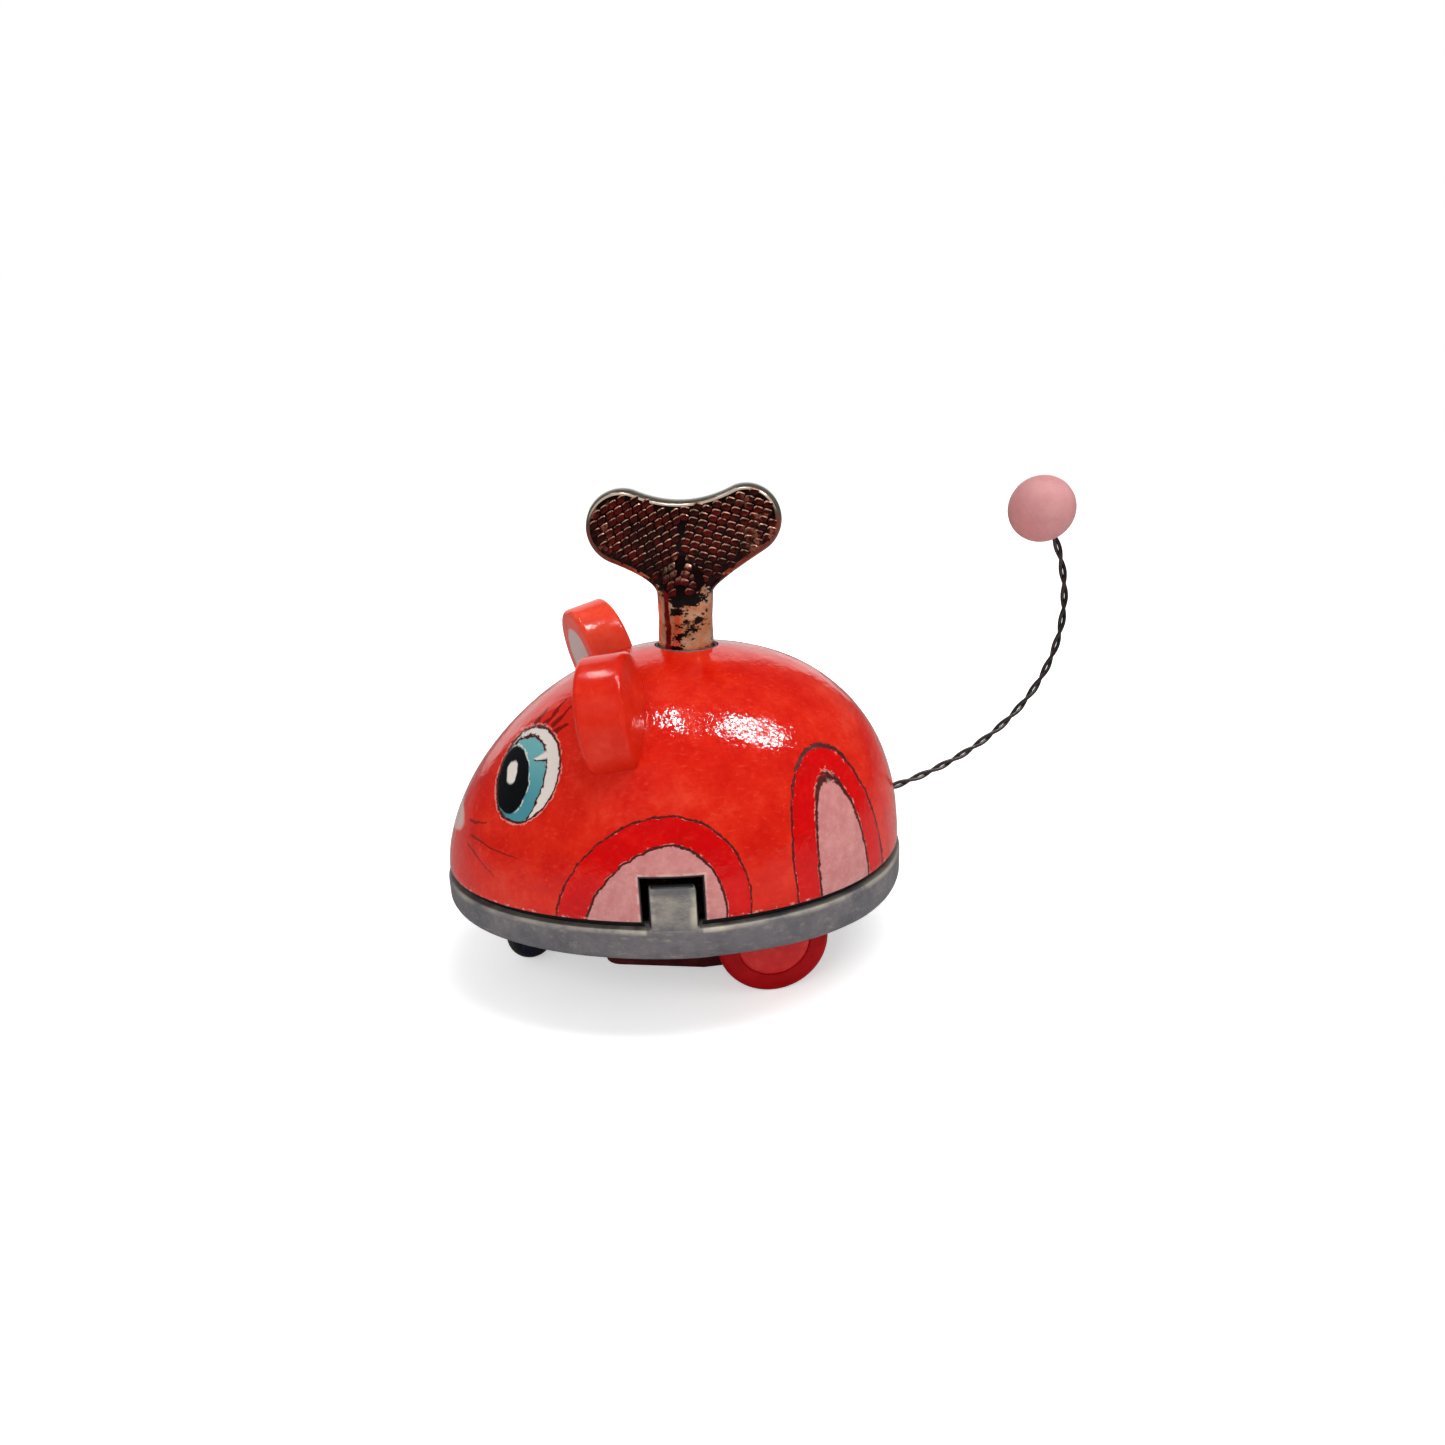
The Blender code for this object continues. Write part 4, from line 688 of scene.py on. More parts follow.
def glazedBodyFinish():
    look = glazeLook
    material, shader, point, colour, peel = redGlaze("glazedBody", look)
    wobble = speckle(point, 420.0, 2.0, 0.5)[1]
    wobble = vectors("SCALE", vectors("SUBTRACT", wobble, (0.5, 0.5, 0.5)), scale=0.0009)
    parts = split(point)
    flat = put("ShaderNodeCombineXYZ", {1: parts[1], 2: parts[2]}).outputs[0]
    flat = vectors("MULTIPLY", vectors("ADD", flat, wobble), (0, 1, 1))
    colour, incised = paintArches(colour, point, flat)
    colour = paintMuzzle(colour, flat, parts, wobble)
    colour, eyeLine = paintEye(colour, point, flat, parts)
    incised = larger(incised, eyeLine)
    colour, groove = paintEdges(colour, point, parts)
    height = minus(peel, times(incised, 0.5))
    crinkle = speckle(point, 900.0, 3.0, 0.6)[0]  # glaze that pulled into dull flecks
    rough = ramp(crinkle, 0.46, 0.53, look["dullness"], look["roughness"])
    rough = plus(plus(rough, times(incised, 0.3)), times(groove, 0.4))
    wire(shader, baseColor=colour, roughness=rough, normal=bumpFrom(height, look["dents"]))
    return material


finishAs(makeShell(), glazedBodyFinish(), "body", "body_shell")
print("shell made")


# ears

# each ear: side, distance behind the key's axis, height, toe-in and backward lean in degrees
earSizes = dict(radius=0.0132, thickness=0.0108, edgeRound=0.0012, crown=0.00015, x=0.0245,
                bulge=0.0016, bury=0.0012, sides=112, patch=0.0083,
                ears=dict(left=(1, -0.01915, 0.06871, 13.6, 6.6),
                          right=(-1, -0.02033, 0.07264, 17.5, 13.2)))
earLook = dict(glazeLook, **tones(patchPale=(214, 186, 180), dents=0.00010, roughness=0.17,
                                  specular=0.22))
# painted light: the right ear's glaze is given paler, standing for brighter light on that ear
earTonesPaintedLight = dict(left=tones(red=(220, 42, 22), deep=(208, 30, 12), pale=(228, 66, 46)),
                right=tones(red=(248, 78, 52), deep=(240, 58, 36), pale=(250, 98, 76)))


def makeEar(name, side, y, height, toeIn, lean):
    size = earSizes
    half, edge, bow = size["thickness"] / 2, size["edgeRound"], size["crown"]
    upper = [(0, half)] + [(size["radius"] * share, half - bow * share ** 4)
                           for share in (0.15, 0.3, 0.45, 0.6, 0.75)]
    upper += arcPoints(size["radius"] - edge, half - bow - edge, edge, 82, 0, 7)
    bm = bmesh.new()
    inner = size["radius"] - edge
    back = [(r, -h - size["bulge"] * max(0.0, 1 - (r / inner) ** 2)) for r, h in upper[::-1]]
    turnProfile(bm, upper + back, size["sides"])
    ear = pieceFrom(bm, name + "Ear", 60)
    turn = Euler((math.pi / 2 + math.radians(lean), 0, -side * math.radians(toeIn)))
    spot = Matrix.Translation((side * size["x"], keyY + y, height))
    ear.matrix_world = spot @ turn.to_matrix().to_4x4()
    bm = bmesh.new()
    skinRings(bm, domeRings(120, 40, -size["bury"], bodyForm["baseTop"]), None, domePole(-size["bury"]))
    return cutBy(ear, [pieceFrom(bm, "earSeat")], 60)


def glazedEarFinish(name, look):
    size = earSizes
    material, shader, point, colour, peel = redGlaze(name, look)
    parts = split(point)
    edge = speckle(point, 300.0, 2.0, 0.5)[0]
    away = put("ShaderNodeCombineXYZ", {0: parts[0], 1: parts[1]}).outputs[0]
    away = vectors("LENGTH", vectors("ADD", away, (0, -0.0006, 0)), output=1)
    away = plus(away, times(edge, 0.0012))
    facing = ramp(parts[2], size["thickness"] * 0.36, size["thickness"] * 0.42)
    patch = times(ramp(away, size["patch"] + 0.0004, size["patch"] - 0.0004), facing)
    colour = blend(patch, colour, look["patchPale"])
    wire(shader, baseColor=colour, roughness=look["roughness"], normal=bumpFrom(peel, look["dents"]))
    return material


for label, placing in earSizes["ears"].items():
    finish = glazedEarFinish(label + "EarGlaze", dict(earLook, **earTonesPaintedLight[label]))
    finishAs(makeEar(label, *placing), finish, "body", "ear_" + label)
print("ears made")


# winding key: a thick two-lobed bow with a raised hatch on a round stem

# each lobe: distance from the stem, rise, radius, angle of its foot and half width of the neck
keySizes = dict(stem=0.0066, neck=0.092243, foot=0.063343, thickness=0.0070, rim=0.0016,
                rimFlat=0.0002, frontLobe=(0.0131, 0.0139, 0.0088, math.radians(-67), 0.0062),
                rearLobe=(0.0154, 0.0146, 0.0082, math.radians(-59), 0.0070),
                brow=math.radians(108), notchDip=0.0017, turn=math.radians(12),
                hatchRows=(-14, 30), hatchColumns=(-18, 18), hatchShift=0.18, hatchFoot=-0.0070,
                hatchAlong=0.0022, hatchUp=0.0017, hatchHeight=0.00040, hatchMargin=0.0017,
                frontTilt=math.radians(27), rearTilt=math.radians(-20), taperTop=0.0090,
                taperFoot=-0.0030, taperTip=0.0022, tongue=-0.0022, tongueBend=96.0,
                tongueHalf=0.0055, leanFrom=0.0800, lean=0.04, socket=0.0019, socketDepth=0.0120)
# rings of each bump from its foot up: share of its width, of its height, and its relief
hatchRings = ((1.0, -0.60, 0.0), (0.96, 0.38, 0.42), (0.78, 0.85, 0.8), (0.50, 1.0, 1.0))
# the rim's top and lower colours and the streak are painted reflection; line and glint are painted
# highlights
keyLook = tones(lustre=(226, 144, 100), lustrePale=(240, 186, 152), rimTop=(92, 86, 77),
                streak=(128, 10, 10), rimLow=(126, 62, 46), dark=(20, 6, 6), face=(46, 11, 10),
                faceRed=(88, 15, 12), glint=(216, 170, 140), smear=(150, 88, 68), line=(206, 184, 166),
                black=(14, 6, 6), roughness=0.07, specular=0.2, dents=0.00009)


def stemRadius(height):  # height above the neck, where the stem thins into the bow
    size = keySizes
    share = (size["taperTop"] - height) / (size["taperTop"] - size["taperFoot"])
    share = min(1.0, max(0.0, share))
    thinned = (1 - math.sin(share * math.pi / 2)) ** 1.3
    return size["stem"] - (size["stem"] - size["taperTip"]) * thinned


def keySurface(y, z):  # half depth of the key's front, z above the neck
    return max(keySizes["thickness"] / 2, math.sqrt(max(0.0, stemRadius(z) ** 2 - y * y)))


def lobeEdge(offset, rise, radius, footAngle, side):
    foot = Vector((offset + radius * math.cos(footAngle), rise + radius * math.sin(footAngle)))
    bend = Vector((side, foot.y + (foot.x - side) / math.tan(footAngle)))
    flare = [tuple(bezierPoint([(side, -0.0018), bend, foot], i / 12)) for i in range(12)]
    return [(side, -0.0030)] + flare + arcPoints(offset, rise, radius, math.degrees(footAngle),
                                                 math.degrees(keySizes["brow"]), 36)


def keyOutline():
    size = keySizes
    rear = lobeEdge(*size["rearLobe"])
    front = [(-x, y) for x, y in lobeEdge(*size["frontLobe"])[::-1]]
    brows = [Vector(rear[-1]), Vector(front[0])]
    dip = (brows[0] + brows[1]) / 2
    dip.y += (brows[0].x - brows[1].x) / 2 / math.tan(size["brow"]) - size["notchDip"]
    notch = [tuple(bezierPoint([brows[0], dip, brows[1]], i / 16)) for i in range(1, 16)]
    return rear + notch + front


def isInside(outline, x, y):
    hit = False
    for (x0, y0), (x1, y1) in zip(outline, outline[1:] + outline[:1]):
        if (y0 > y) != (y1 > y) and x < x0 + (y - y0) / (y1 - y0) * (x1 - x0):
            hit = not hit
    return hit


def hatchPlaces(outline):
    size = keySizes
    places = []
    for side, tilt in ((-1, size["frontTilt"]), (1, size["rearTilt"])):
        along, up = axesAt(tilt)
        for row in range(*size["hatchRows"]):
            for column in range(*size["hatchColumns"]):
                seed = Vector((row * 3.1, column * 2.7, side * 5.3))
                jitter = Vector([noise.noise(seed + Vector((0, 0, apart)))
                                 for apart in (0.0, 17.3, 41.9)])
                shift = (row % 2) * size["hatchShift"]
                spot = along * ((column + shift) * size["hatchAlong"] + jitter.x * 0.00018)
                spot += up * (row * size["hatchUp"] + jitter.y * 0.00016)
                across = min(abs(spot.x), size["tongueHalf"])
                lowest = size["tongue"] + size["tongueBend"] * across ** 2 + 0.0007
                if spot.x * side < 0.0006 * (1 if side > 0 else 0.4) or spot.y < lowest:
                    continue
                ring = arcPoints(spot.x, spot.y, size["hatchMargin"], 0, 315, 7)
                if all(isInside(outline, *point) for point in ring):
                    places.append((spot, tilt, jitter.z))
    return places


def addHatch(bm, outline):  # raised bumps on both faces of the bow
    size = keySizes
    relief = bm.verts.layers.float.new("relief")
    side, low = size["stem"], size["hatchFoot"]
    for spot, tilt, vary in hatchPlaces([(side, low)] + outline[1:-1] + [(-side, low)]):
        slant = 0.45 if tilt > 0 else 0.15
        tall = size["hatchHeight"] * (1 + 0.25 * vary) * (1.0 if spot.y > 0.006 else 0.8)
        along, up = axesAt(tilt)
        corners = []
        for a in (2 * math.pi * (i + 0.5) / 10 for i in range(10)):
            corners.append([(math.copysign(abs(value) ** 0.6, value), reach)
                            for value, reach in ((math.cos(a), size["hatchAlong"]),
                                                 (math.sin(a), size["hatchUp"]))])
        for face in (-1, 1):
            rings = []
            for grow, lift, value in hatchRings:
                ring = []
                for corner in corners:
                    dx, dy = [share * grow * reach / 2 for share, reach in corner]
                    at = spot + along * (dx + slant * dy) + up * dy
                    depth = keySurface(*at) + tall * lift
                    ring.append(Vector((face * depth, *at)))
                rings.append(ring)
            for row, (grow, lift, value) in zip(skinRings(bm, rings), hatchRings):
                for vert in row:
                    vert[relief] = value


def makeKey():
    size = keySizes
    outline = keyOutline()
    flat = 2 * size["rim"] + size["rimFlat"]
    bm = platePiece("keyBow", outline, flat, size["rim"], 6)
    bmesh.ops.scale(bm, vec=(size["thickness"] / flat, 1, 1), verts=bm.verts)
    addHatch(bm, outline)
    bmesh.ops.translate(bm, vec=(0, 0, size["neck"]), verts=bm.verts)
    stem, neck = size["stem"], size["neck"]
    socketTop, shoulder = size["foot"] + size["socketDepth"], neck + size["taperFoot"]
    taper = [size["taperTop"] + (size["taperFoot"] - size["taperTop"]) * i / 16 for i in range(17)]
    profile = [(0, neck + size["taperTop"] + 0.0002)] + [(stemRadius(z), neck + z) for z in taper]
    steps = 12
    for i in range(1, steps):  # pressed by hand, so not quite straight
        z = shoulder + (size["foot"] + 0.0006 - shoulder) * i / steps
        profile.append((stem - 0.00010 * (1 - math.cos(i * 1.3)), z))
    profile += [(stem - 0.0002, size["foot"] + 0.0003), (stem - 0.0006, size["foot"])]
    profile += [(size["socket"], size["foot"]), (size["socket"], socketTop), (0, socketTop)]
    for row in turnProfile(bm, profile, 72):
        for vert in row:  # the stem leans a little above the shell
            vert.co.y += max(0.0, vert.co.z - size["leanFrom"]) * size["lean"]
    placed = Matrix.Translation((0, keyY, 0)) @ Matrix.Rotation(-size["turn"], 4, "Z")
    bmesh.ops.transform(bm, matrix=placed, verts=bm.verts)
    return pieceFrom(bm, "lustreKey", 50)


def lustreKeyFinish():
    look, size = keyLook, keySizes
    material, shader, point = newMaterial("lustreKey")
    local = put("ShaderNodeVectorRotate", {"Vector": vectors("SUBTRACT", point,
                                                             (0, keyY, size["neck"])),
                                           "Angle": size["turn"]}, rotation_type="Z_AXIS").outputs[0]
    sides = split(local)
    relief = put("ShaderNodeAttribute", attribute_name="relief").outputs["Fac"]
    normal = put("ShaderNodeNewGeometry").outputs["Normal"]
    upward = split(normal)[2]
    cloud = speckle(point, 260.0, 4.0, 0.6)[0]
    fine = speckle(point, 1300.0, 3.0, 0.65)[0]
    depth, half = unsigned(sides[0]), size["thickness"] / 2
    bend = maths("MINIMUM", times(sides[1], sides[1]), size["tongueHalf"] ** 2)
    bend = times(bend, size["tongueBend"])
    above = minus(sides[2], plus(bend, size["tongue"]))
    above = plus(above, times(minus(cloud, 0.5), 0.004))
    face = times(ramp(depth, half - 0.00006, half - 0.00003), ramp(above, -0.0002, 0.0003))
    # coppery stem, broken to black in ragged patches
    lustre = blend(ramp(cloud, 0.40, 0.66), look["lustre"], look["lustrePale"])
    ragged = speckle(point, 230.0, 5.0, 0.74, (1.0, 1.0, 1.7))[0]
    middle = unsigned(minus(sides[1], 0.0012))
    middle = ramp(middle, 0.0042, 0.0012, 0.0, 0.055)
    collar = ramp(above, -0.0042, -0.0012, 0.0, 0.09)
    ragged = plus(ragged, plus(middle, collar))
    broken = times(ramp(ragged, 0.545, 0.575), ramp(sides[2], 0.0060, 0.0015))
    # pale rounded rim with a bright line where it meets the face: its colour is painted reflection,
    # pale grey where it faces up and copper-red where it faces down, and the line is a painted
    # highlight
    rim = blend(ramp(upward, -0.15, 0.25), look["rimLow"], look["rimTop"])
    rim = blend(ramp(fine, 0.58, 0.70, 0.0, 0.6), rim, look["black"])
    lustre = blend(ramp(sides[2], 0.0010, 0.0060), lustre, rim)
    lustre = blend(broken, lustre, look["black"])
    # painted reflection: a dark red streak down the stem, the red dome seen in it
    streak = plus(sides[1], maths("MULTIPLY_ADD", cloud, 0.0016, 0.0028))
    streak = times(ramp(unsigned(streak), 0.0008, 0.0004), ramp(sides[2], 0.0030, 0.0010))
    lustre = blend(streak, lustre, look["streak"])
    # painted highlight: a bright line along the face's edge where it faces up
    line = times(ramp(depth, half - 0.00040, half - 0.00030), ramp(upward, 0.12, 0.30))
    lustre = blend(times(line, ramp(sides[2], 0.006, 0.012)), lustre, look["line"])
    # hatched face: maroon bumps, black between them, a painted highlight in copper where they look up
    faceTone = blend(ramp(cloud, 0.42, 0.62), look["face"], look["faceRed"])
    faceTone = blend(ramp(fine, 0.50, 0.30, 0.0, 0.7), faceTone, look["black"])
    faceTone = blend(ramp(relief, 0.36, 0.12), faceTone, look["dark"])
    # painted highlight: copper glints on the bumps' upward slopes
    wearAndGlint = times(ramp(relief, 0.30, 0.60), ramp(upward, 0.20, 0.50))
    wearAndGlint = times(wearAndGlint, ramp(fine, 0.34, 0.58))
    wearAndGlint = times(wearAndGlint, ramp(sides[2], 0.0045, 0.0085, 0.3, 1.0))
    faceTone = blend(wearAndGlint, faceTone, look["glint"])
    smear = times(ramp(speckle(point, 330.0, 4.0, 0.7)[0], 0.54, 0.64),
                  ramp(unsigned(sides[1]), 0.0115, 0.0185))
    faceTone = blend(times(smear, 0.8), faceTone, look["smear"])
    colour = blend(face, lustre, faceTone)
    dull = larger(broken, ramp(sides[2], 0.0010, 0.0060, 0.0, 0.75))
    metal = blend(larger(dull, times(face, 0.7)), (0.78, 0.78, 0.78, 1), (0.20, 0.20, 0.20, 1))
    rough = plus(look["roughness"], times(fine, 0.10))
    height = plus(times(fine, 0.5), cloud)
    wire(shader, baseColor=colour, metallic=metal, roughness=rough,
         specularIORLevel=look["specular"], normal=bumpFrom(height, look["dents"]))
    return material


finishAs(makeKey(), lustreKeyFinish(), "key", "winding_key")

bushSizes = dict(hole=0.0069, outer=0.0075, flange=0.0104, flangeDepth=0.0018, edge=0.0003, sides=96)


def makeBush():  # its top follows the dome round the key
    size = bushSizes
    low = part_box("key_bush")[0].z
    edge = size["edge"]
    corners = [(size["hole"], 0.0), (size["hole"], edge), (size["hole"] + edge, 0.0),
               (size["outer"] - edge, 0.0), (size["outer"], edge),
               (size["outer"], size["flangeDepth"]), (size["flange"], size["flangeDepth"]),
               (size["flange"], 0.0)]
    rings = []
    for number, (radius, drop) in enumerate(corners):
        ring = []
        for angle in roundAngles(size["sides"]):
            x, y = radius * math.cos(angle), radius * math.sin(angle)
            z = domeHeightAt(x, y) - drop if 0 < number < 5 else low + drop
            ring.append((x, y + keyY, z))
        rings.append(ring)
    bm = bmesh.new()
    skinRings(bm, rings, loop=True)
    return pieceFrom(bm, "keyBush", 45)


print("key made")


# base pan with its tabs

baseSizes = dict(flare=0.0005, edgeRound=0.0030, topRound=0.0006, lipInset=0.0016, lipHeight=0.0013,
                 rollIn=0.0024, sag=0.0013, sagReach=0.034, wall=0.0032, floor=0.0016, tabY=-0.0105,
                 tabWidth=0.0097, tabRise=0.0098, tabThickness=0.0024, tabFoot=0.0011, tabRound=0.0005,
                 tabCorner=0.0011, tabSink=0.0028, sides=216, slotReach=0.0141, slotIn=0.0195,
                 slotOut=0.0315, layHole=0.0022, waviness=0.00012)
baseLook = tones(grey=(112, 107, 110), deep=(90, 88, 94), pale=(134, 128, 124), brushed=(196, 186, 166),
                 groove=(20, 18, 22), patch=120.0, grain=1100.0, dents=0.00009)


def addTabs(base):
    size, form = baseSizes, bodyForm
    half, foot = size["tabWidth"] / 2, size["tabFoot"]
    low, high = form["ledge"] - size["tabSink"], form["ledge"] + size["tabRise"]
    corner = size["tabCorner"]
    outline = [(half + foot, low), (half + foot, form["ledge"] - 0.0004)]
    outline += [(half + foot - x, form["ledge"] - 0.0004 + y)
                for x, y in arcPoints(0, foot * 1.6, foot * 1.6, -90, -10, 6)[1:] if x <= foot]
    outline += arcPoints(half - corner, high - corner, corner, 0, 90, 6)
    outline += [(-x, y) for x, y in outline[::-1]]
    outline = [(x + keyY + size["tabY"], y) for x, y in outline]
    bm = bmesh.new()
    bm.from_mesh(base.data)
    for side in (-1, 1):
        tab = platePiece("sideTab", outline, size["tabThickness"], size["tabRound"], 3)
        for vert in tab.verts:  # flush with the curved wall below it
            wall = halfWidthAt(vert.co.y - keyY) + size["flare"] - 0.00006
            vert.co.x = side * (wall - size["tabThickness"] / 2) + vert.co.x
        bmesh.ops.recalc_face_normals(tab, faces=tab.faces)
        flat = bpy.data.meshes.new("sideTab")
        tab.to_mesh(flat)
        tab.free()
        bm.from_mesh(flat)
    bm.to_mesh(base.data)
    bm.free()
    return smoothPiece(base, 38)


def makeBase():
    size, form = baseSizes, bodyForm
    bm = bmesh.new()
    edge, small, sides = size["edgeRound"], size["topRound"], size["sides"]
    rings = [planRing(sides, form["baseZ"], size["flare"] - edge - size["rollIn"])]
    for i in range(9):  # rounded lower edge, sagging a little at the rump
        a = math.radians(90 - 90 * i / 8)
        ring = planRing(sides, form["baseZ"] + edge * (1 - math.sin(a)),
                        size["flare"] - edge * (1 - math.cos(a)))
        rings.append([(x, y, z - size["sag"] * min(1.0, max(0.0, (y - keyY) / size["sagReach"])))
                      for x, y, z in ring])
    for i in range(1, 4):
        share = i / 4
        z = form["baseZ"] + edge + (form["ledge"] - small - form["baseZ"] - edge) * share
        rings.append(planRing(sides, z, size["flare"]))
    for i in range(5):  # worn top edge
        a = math.radians(90 * i / 4)
        rings.append(planRing(sides, form["ledge"] - small + small * math.sin(a),
                              size["flare"] - small + small * math.cos(a)))
    lipTop = form["ledge"] + size["lipHeight"]
    shrink = -size["wall"] - size["lipInset"] / 2
    floorZ = form["baseZ"] + size["floor"]
    rings += [planRing(sides, form["ledge"], -size["lipInset"]),
              planRing(sides, lipTop, -size["lipInset"]),
              planRing(sides, lipTop, shrink), planRing(sides, floorZ, shrink)]
    for ring in rings[:18]:
        for i, (x, y, z) in enumerate(ring):  # cast by hand: a little uneven
            wave = noise.noise(Vector((x, y, z)) * 90) * size["waviness"]
            away = Vector((x, y - keyY, 0)).normalized() * wave
            ring[i] = (x + away.x, y + away.y, z)
    skinRings(bm, rings)
    base = pieceFrom(bm, "pewterBase")
    cutters = [drillPiece("layHole", size["layHole"], (0, axleAt.y, 0.015), (0, axleAt.y, 0.024))]
    for side in (-1, 1):
        ends = sorted((side * size["slotIn"], side * size["slotOut"]))
        cutters.append(boxPiece("wheelSlot", (ends[0], axleAt.y - size["slotReach"], 0.017),
                                (ends[1], axleAt.y + size["slotReach"], 0.023)))
    return addTabs(cutBy(base, cutters, 38))


def pewterFinish():
    look, size, form = baseLook, baseSizes, bodyForm
    material, shader, point = newMaterial("pewterPaint")
    parts = split(point)
    colour = brushOn(point, look["grey"], look["deep"], look["pale"], look["patch"],
                     look["grain"])["Colour"]
    rub = speckle(point, 430.0, 5.0, 0.72, (1.0, 0.5, 1.2))[0]
    wear = speckle(point, 110.0, 3.0, 0.6)[0]
    apart = unsigned(minus(parts[1], keyY + size["tabY"]))
    rise = minus(parts[2], form["ledge"])
    tabHalf = size["tabWidth"] / 2
    onTab = times(ramp(apart, tabHalf + 0.0012, tabHalf + 0.0002), ramp(rise, -0.0016, 0.0030))
    beside = ramp(apart, tabHalf + 0.0006, tabHalf + 0.0013)
    topEdge = times(times(ramp(rise, -0.0013, -0.0003), beside),
                    ramp(apart, tabHalf + 0.012, tabHalf + 0.004, 0.45, 1.0))
    tabEdge = times(onTab, ramp(apart, tabHalf - 0.0026, tabHalf - 0.0006))
    edge = larger(topEdge, tabEdge)
    wearAndGlint = plus(times(wear, 0.7), times(rub, 0.3))
    wearAndGlint = times(ramp(wearAndGlint, 0.36, 0.60), edge)
    veil = times(ramp(rub, 0.52, 0.78), 0.35)
    veil = larger(veil, times(onTab, ramp(rub, 0.3, 0.65, 0.05, 0.45)))
    colour = blend(larger(wearAndGlint, veil), colour, look["brushed"])
    # darker towards the tab's top
    tabTopDarker = times(onTab, ramp(rise, size["tabRise"] - 0.0026, size["tabRise"] - 0.0012, 0.0, 0.7))
    colour = blend(tabTopDarker, colour, look["deep"])
    # dark wash and painted shade: a line along the ledge under the shell and round the tab's sides and
    # top, in the gaps
    ledge = times(ramp(rise, -0.00008, 0.00008), beside)
    tabRim = times(ramp(apart, tabHalf - 0.0003, tabHalf - 0.00005), ramp(rise, 0.0, 0.0012))
    tabRim = larger(tabRim, ramp(rise, size["tabRise"] - 0.0004, size["tabRise"] - 0.0001))
    colour = blend(larger(ledge, tabRim), colour, look["groove"])
    rough = ramp(rub, 0.3, 0.7, 0.42, 0.62)
    height = plus(rub, speckle(point, 1600.0, 2.0, 0.5)[0])
    wire(shader, baseColor=colour, roughness=rough, metallic=0.0,
         normal=bumpFrom(height, look["dents"]))
    return material


finishAs(makeBase(), pewterFinish(), "body", "base_pan")
print("base made")


# wheels and front roller

wheelSizes = dict(radius=0.0131, width=0.0100, hub=0.0085, inner=0.0205, tyreRound=0.0015,
                  hubSag=0.0002, seam=0.00003, sides=96, axle=0.0016)
rollerSizes = dict(radius=0.0059, half=0.0045, hole=0.0012, edge=0.0004, sides=64)
wheelLook = tones(tyre=(174, 0, 9), tyreDeep=(160, 0, 7), tyrePale=(186, 8, 18), hub=(218, 40, 40),
                  hubDeep=(204, 28, 29), hubPale=(226, 62, 58), roller=(44, 39, 41),
                  rollerDeep=(30, 27, 29), rollerPale=(62, 56, 57))


def turnAcross(name, profile, sides, at, quarter=1, loop=True, sharp=45):  # turned round X
    bm = bmesh.new()
    turnProfile(bm, profile, sides, loop)
    upright = Matrix.Rotation(quarter * math.pi / 2, 4, "Y")
    bmesh.ops.transform(bm, matrix=Matrix.Translation(at) @ upright, verts=bm.verts)
    return pieceFrom(bm, name, sharp)


def makeTyre(label, at):
    size = wheelSizes
    half, edge, seam = size["width"] / 2, size["tyreRound"], size["hub"] + size["seam"]
    upper = [(seam, half - 0.0010), (seam, half - 0.0003), (seam + 0.0002, half - 0.0001)]
    upper += [(seam + 0.0006, half), (size["radius"] - edge, half)]
    upper += arcPoints(size["radius"] - edge, half - edge, edge, 90, 0, 7)[1:]
    upper += [(size["radius"] + 0.00004, half * 0.3)]
    return turnAcross("tyre" + label, upper + [(r, -h) for r, h in upper[::-1]], size["sides"], at)


def makeHub(label, at, side):
    size = wheelSizes
    half, hub = size["width"] / 2, size["hub"]
    web = size["width"] / 5
    profile = [(0, half + 0.0001)] + [(hub * share, half + 0.0001 - size["hubSag"] * share ** 3)
                                      for share in (0.2, 0.4, 0.6, 0.8, 0.92)]
    profile += [(hub - 0.0002, half - 0.0002), (hub, half - 0.0004), (hub, 0.0006 - half),
                (hub - 0.0003, 0.0003 - half), (size["axle"] + 0.0012, 0.0003 - half),
                (size["axle"], 0.0006 - half), (size["axle"], half - web), (0, half - web)]
    return turnAcross("hub" + label, profile, size["sides"], at, side, loop=False)


def paintedFinish(name, look, key, roughness, patch, grain, dents, specular=0.3):
    material, shader, point = newMaterial(name)
    laid = brushOn(point, look[key], look[key + "Deep"], look[key + "Pale"], patch, grain)
    peel = place(orangePeel, {"Point": point, "Fine": 1300.0, "Broad": 260.0})[0]
    rough = ramp(laid["Cloud"], 0.3, 0.7, roughness - 0.07, roughness + 0.07)
    wire(shader, baseColor=laid["Colour"], roughness=rough, specularIORLevel=specular,
         normal=bumpFrom(peel, dents))
    return material


def makeRoller():
    size = rollerSizes
    half, hole = size["half"], size["hole"]
    end = math.degrees(math.asin((half - size["edge"]) / size["radius"]))
    profile = arcPoints(0, 0, size["radius"], end, -end, 22)
    rim = profile[0][0]
    profile = [(hole, half), (rim - 0.0006, half), (rim - 0.0001, half - 0.0001)] + profile
    profile += [(rim - 0.0001, 0.0001 - half), (rim - 0.0006, -half), (hole, -half)]
    return turnAcross("frontRoller", profile, size["sides"], rollerAt, sharp=40)


tyreFinish = paintedFinish("tyrePaint", wheelLook, "tyre", roughness=0.38, patch=160.0, grain=900.0,
                           dents=0.00005, specular=0.14)
hubFinish = paintedFinish("hubPaint", wheelLook, "hub", roughness=0.36, patch=210.0, grain=1000.0,
                          dents=0.00005)
for side, label in ((1, "left"), (-1, "right")):
    at = (side * (wheelSizes["inner"] + wheelSizes["width"] / 2), axleAt.y, axleAt.z)
    finishAs(makeTyre(label.title(), at), tyreFinish, "wheels", "tyre_" + label)
    finishAs(makeHub(label.title(), at, side), hubFinish, "wheels", "wheel_hub_" + label)
rollerFinish = paintedFinish("rollerPaint", wheelLook, "roller", roughness=0.45, patch=240.0,
                             grain=900.0, dents=0.00005)
finishAs(makeRoller(), rollerFinish, "roller", "front_roller")
print("wheels and roller made")


# tail of two twisted wires and its ball

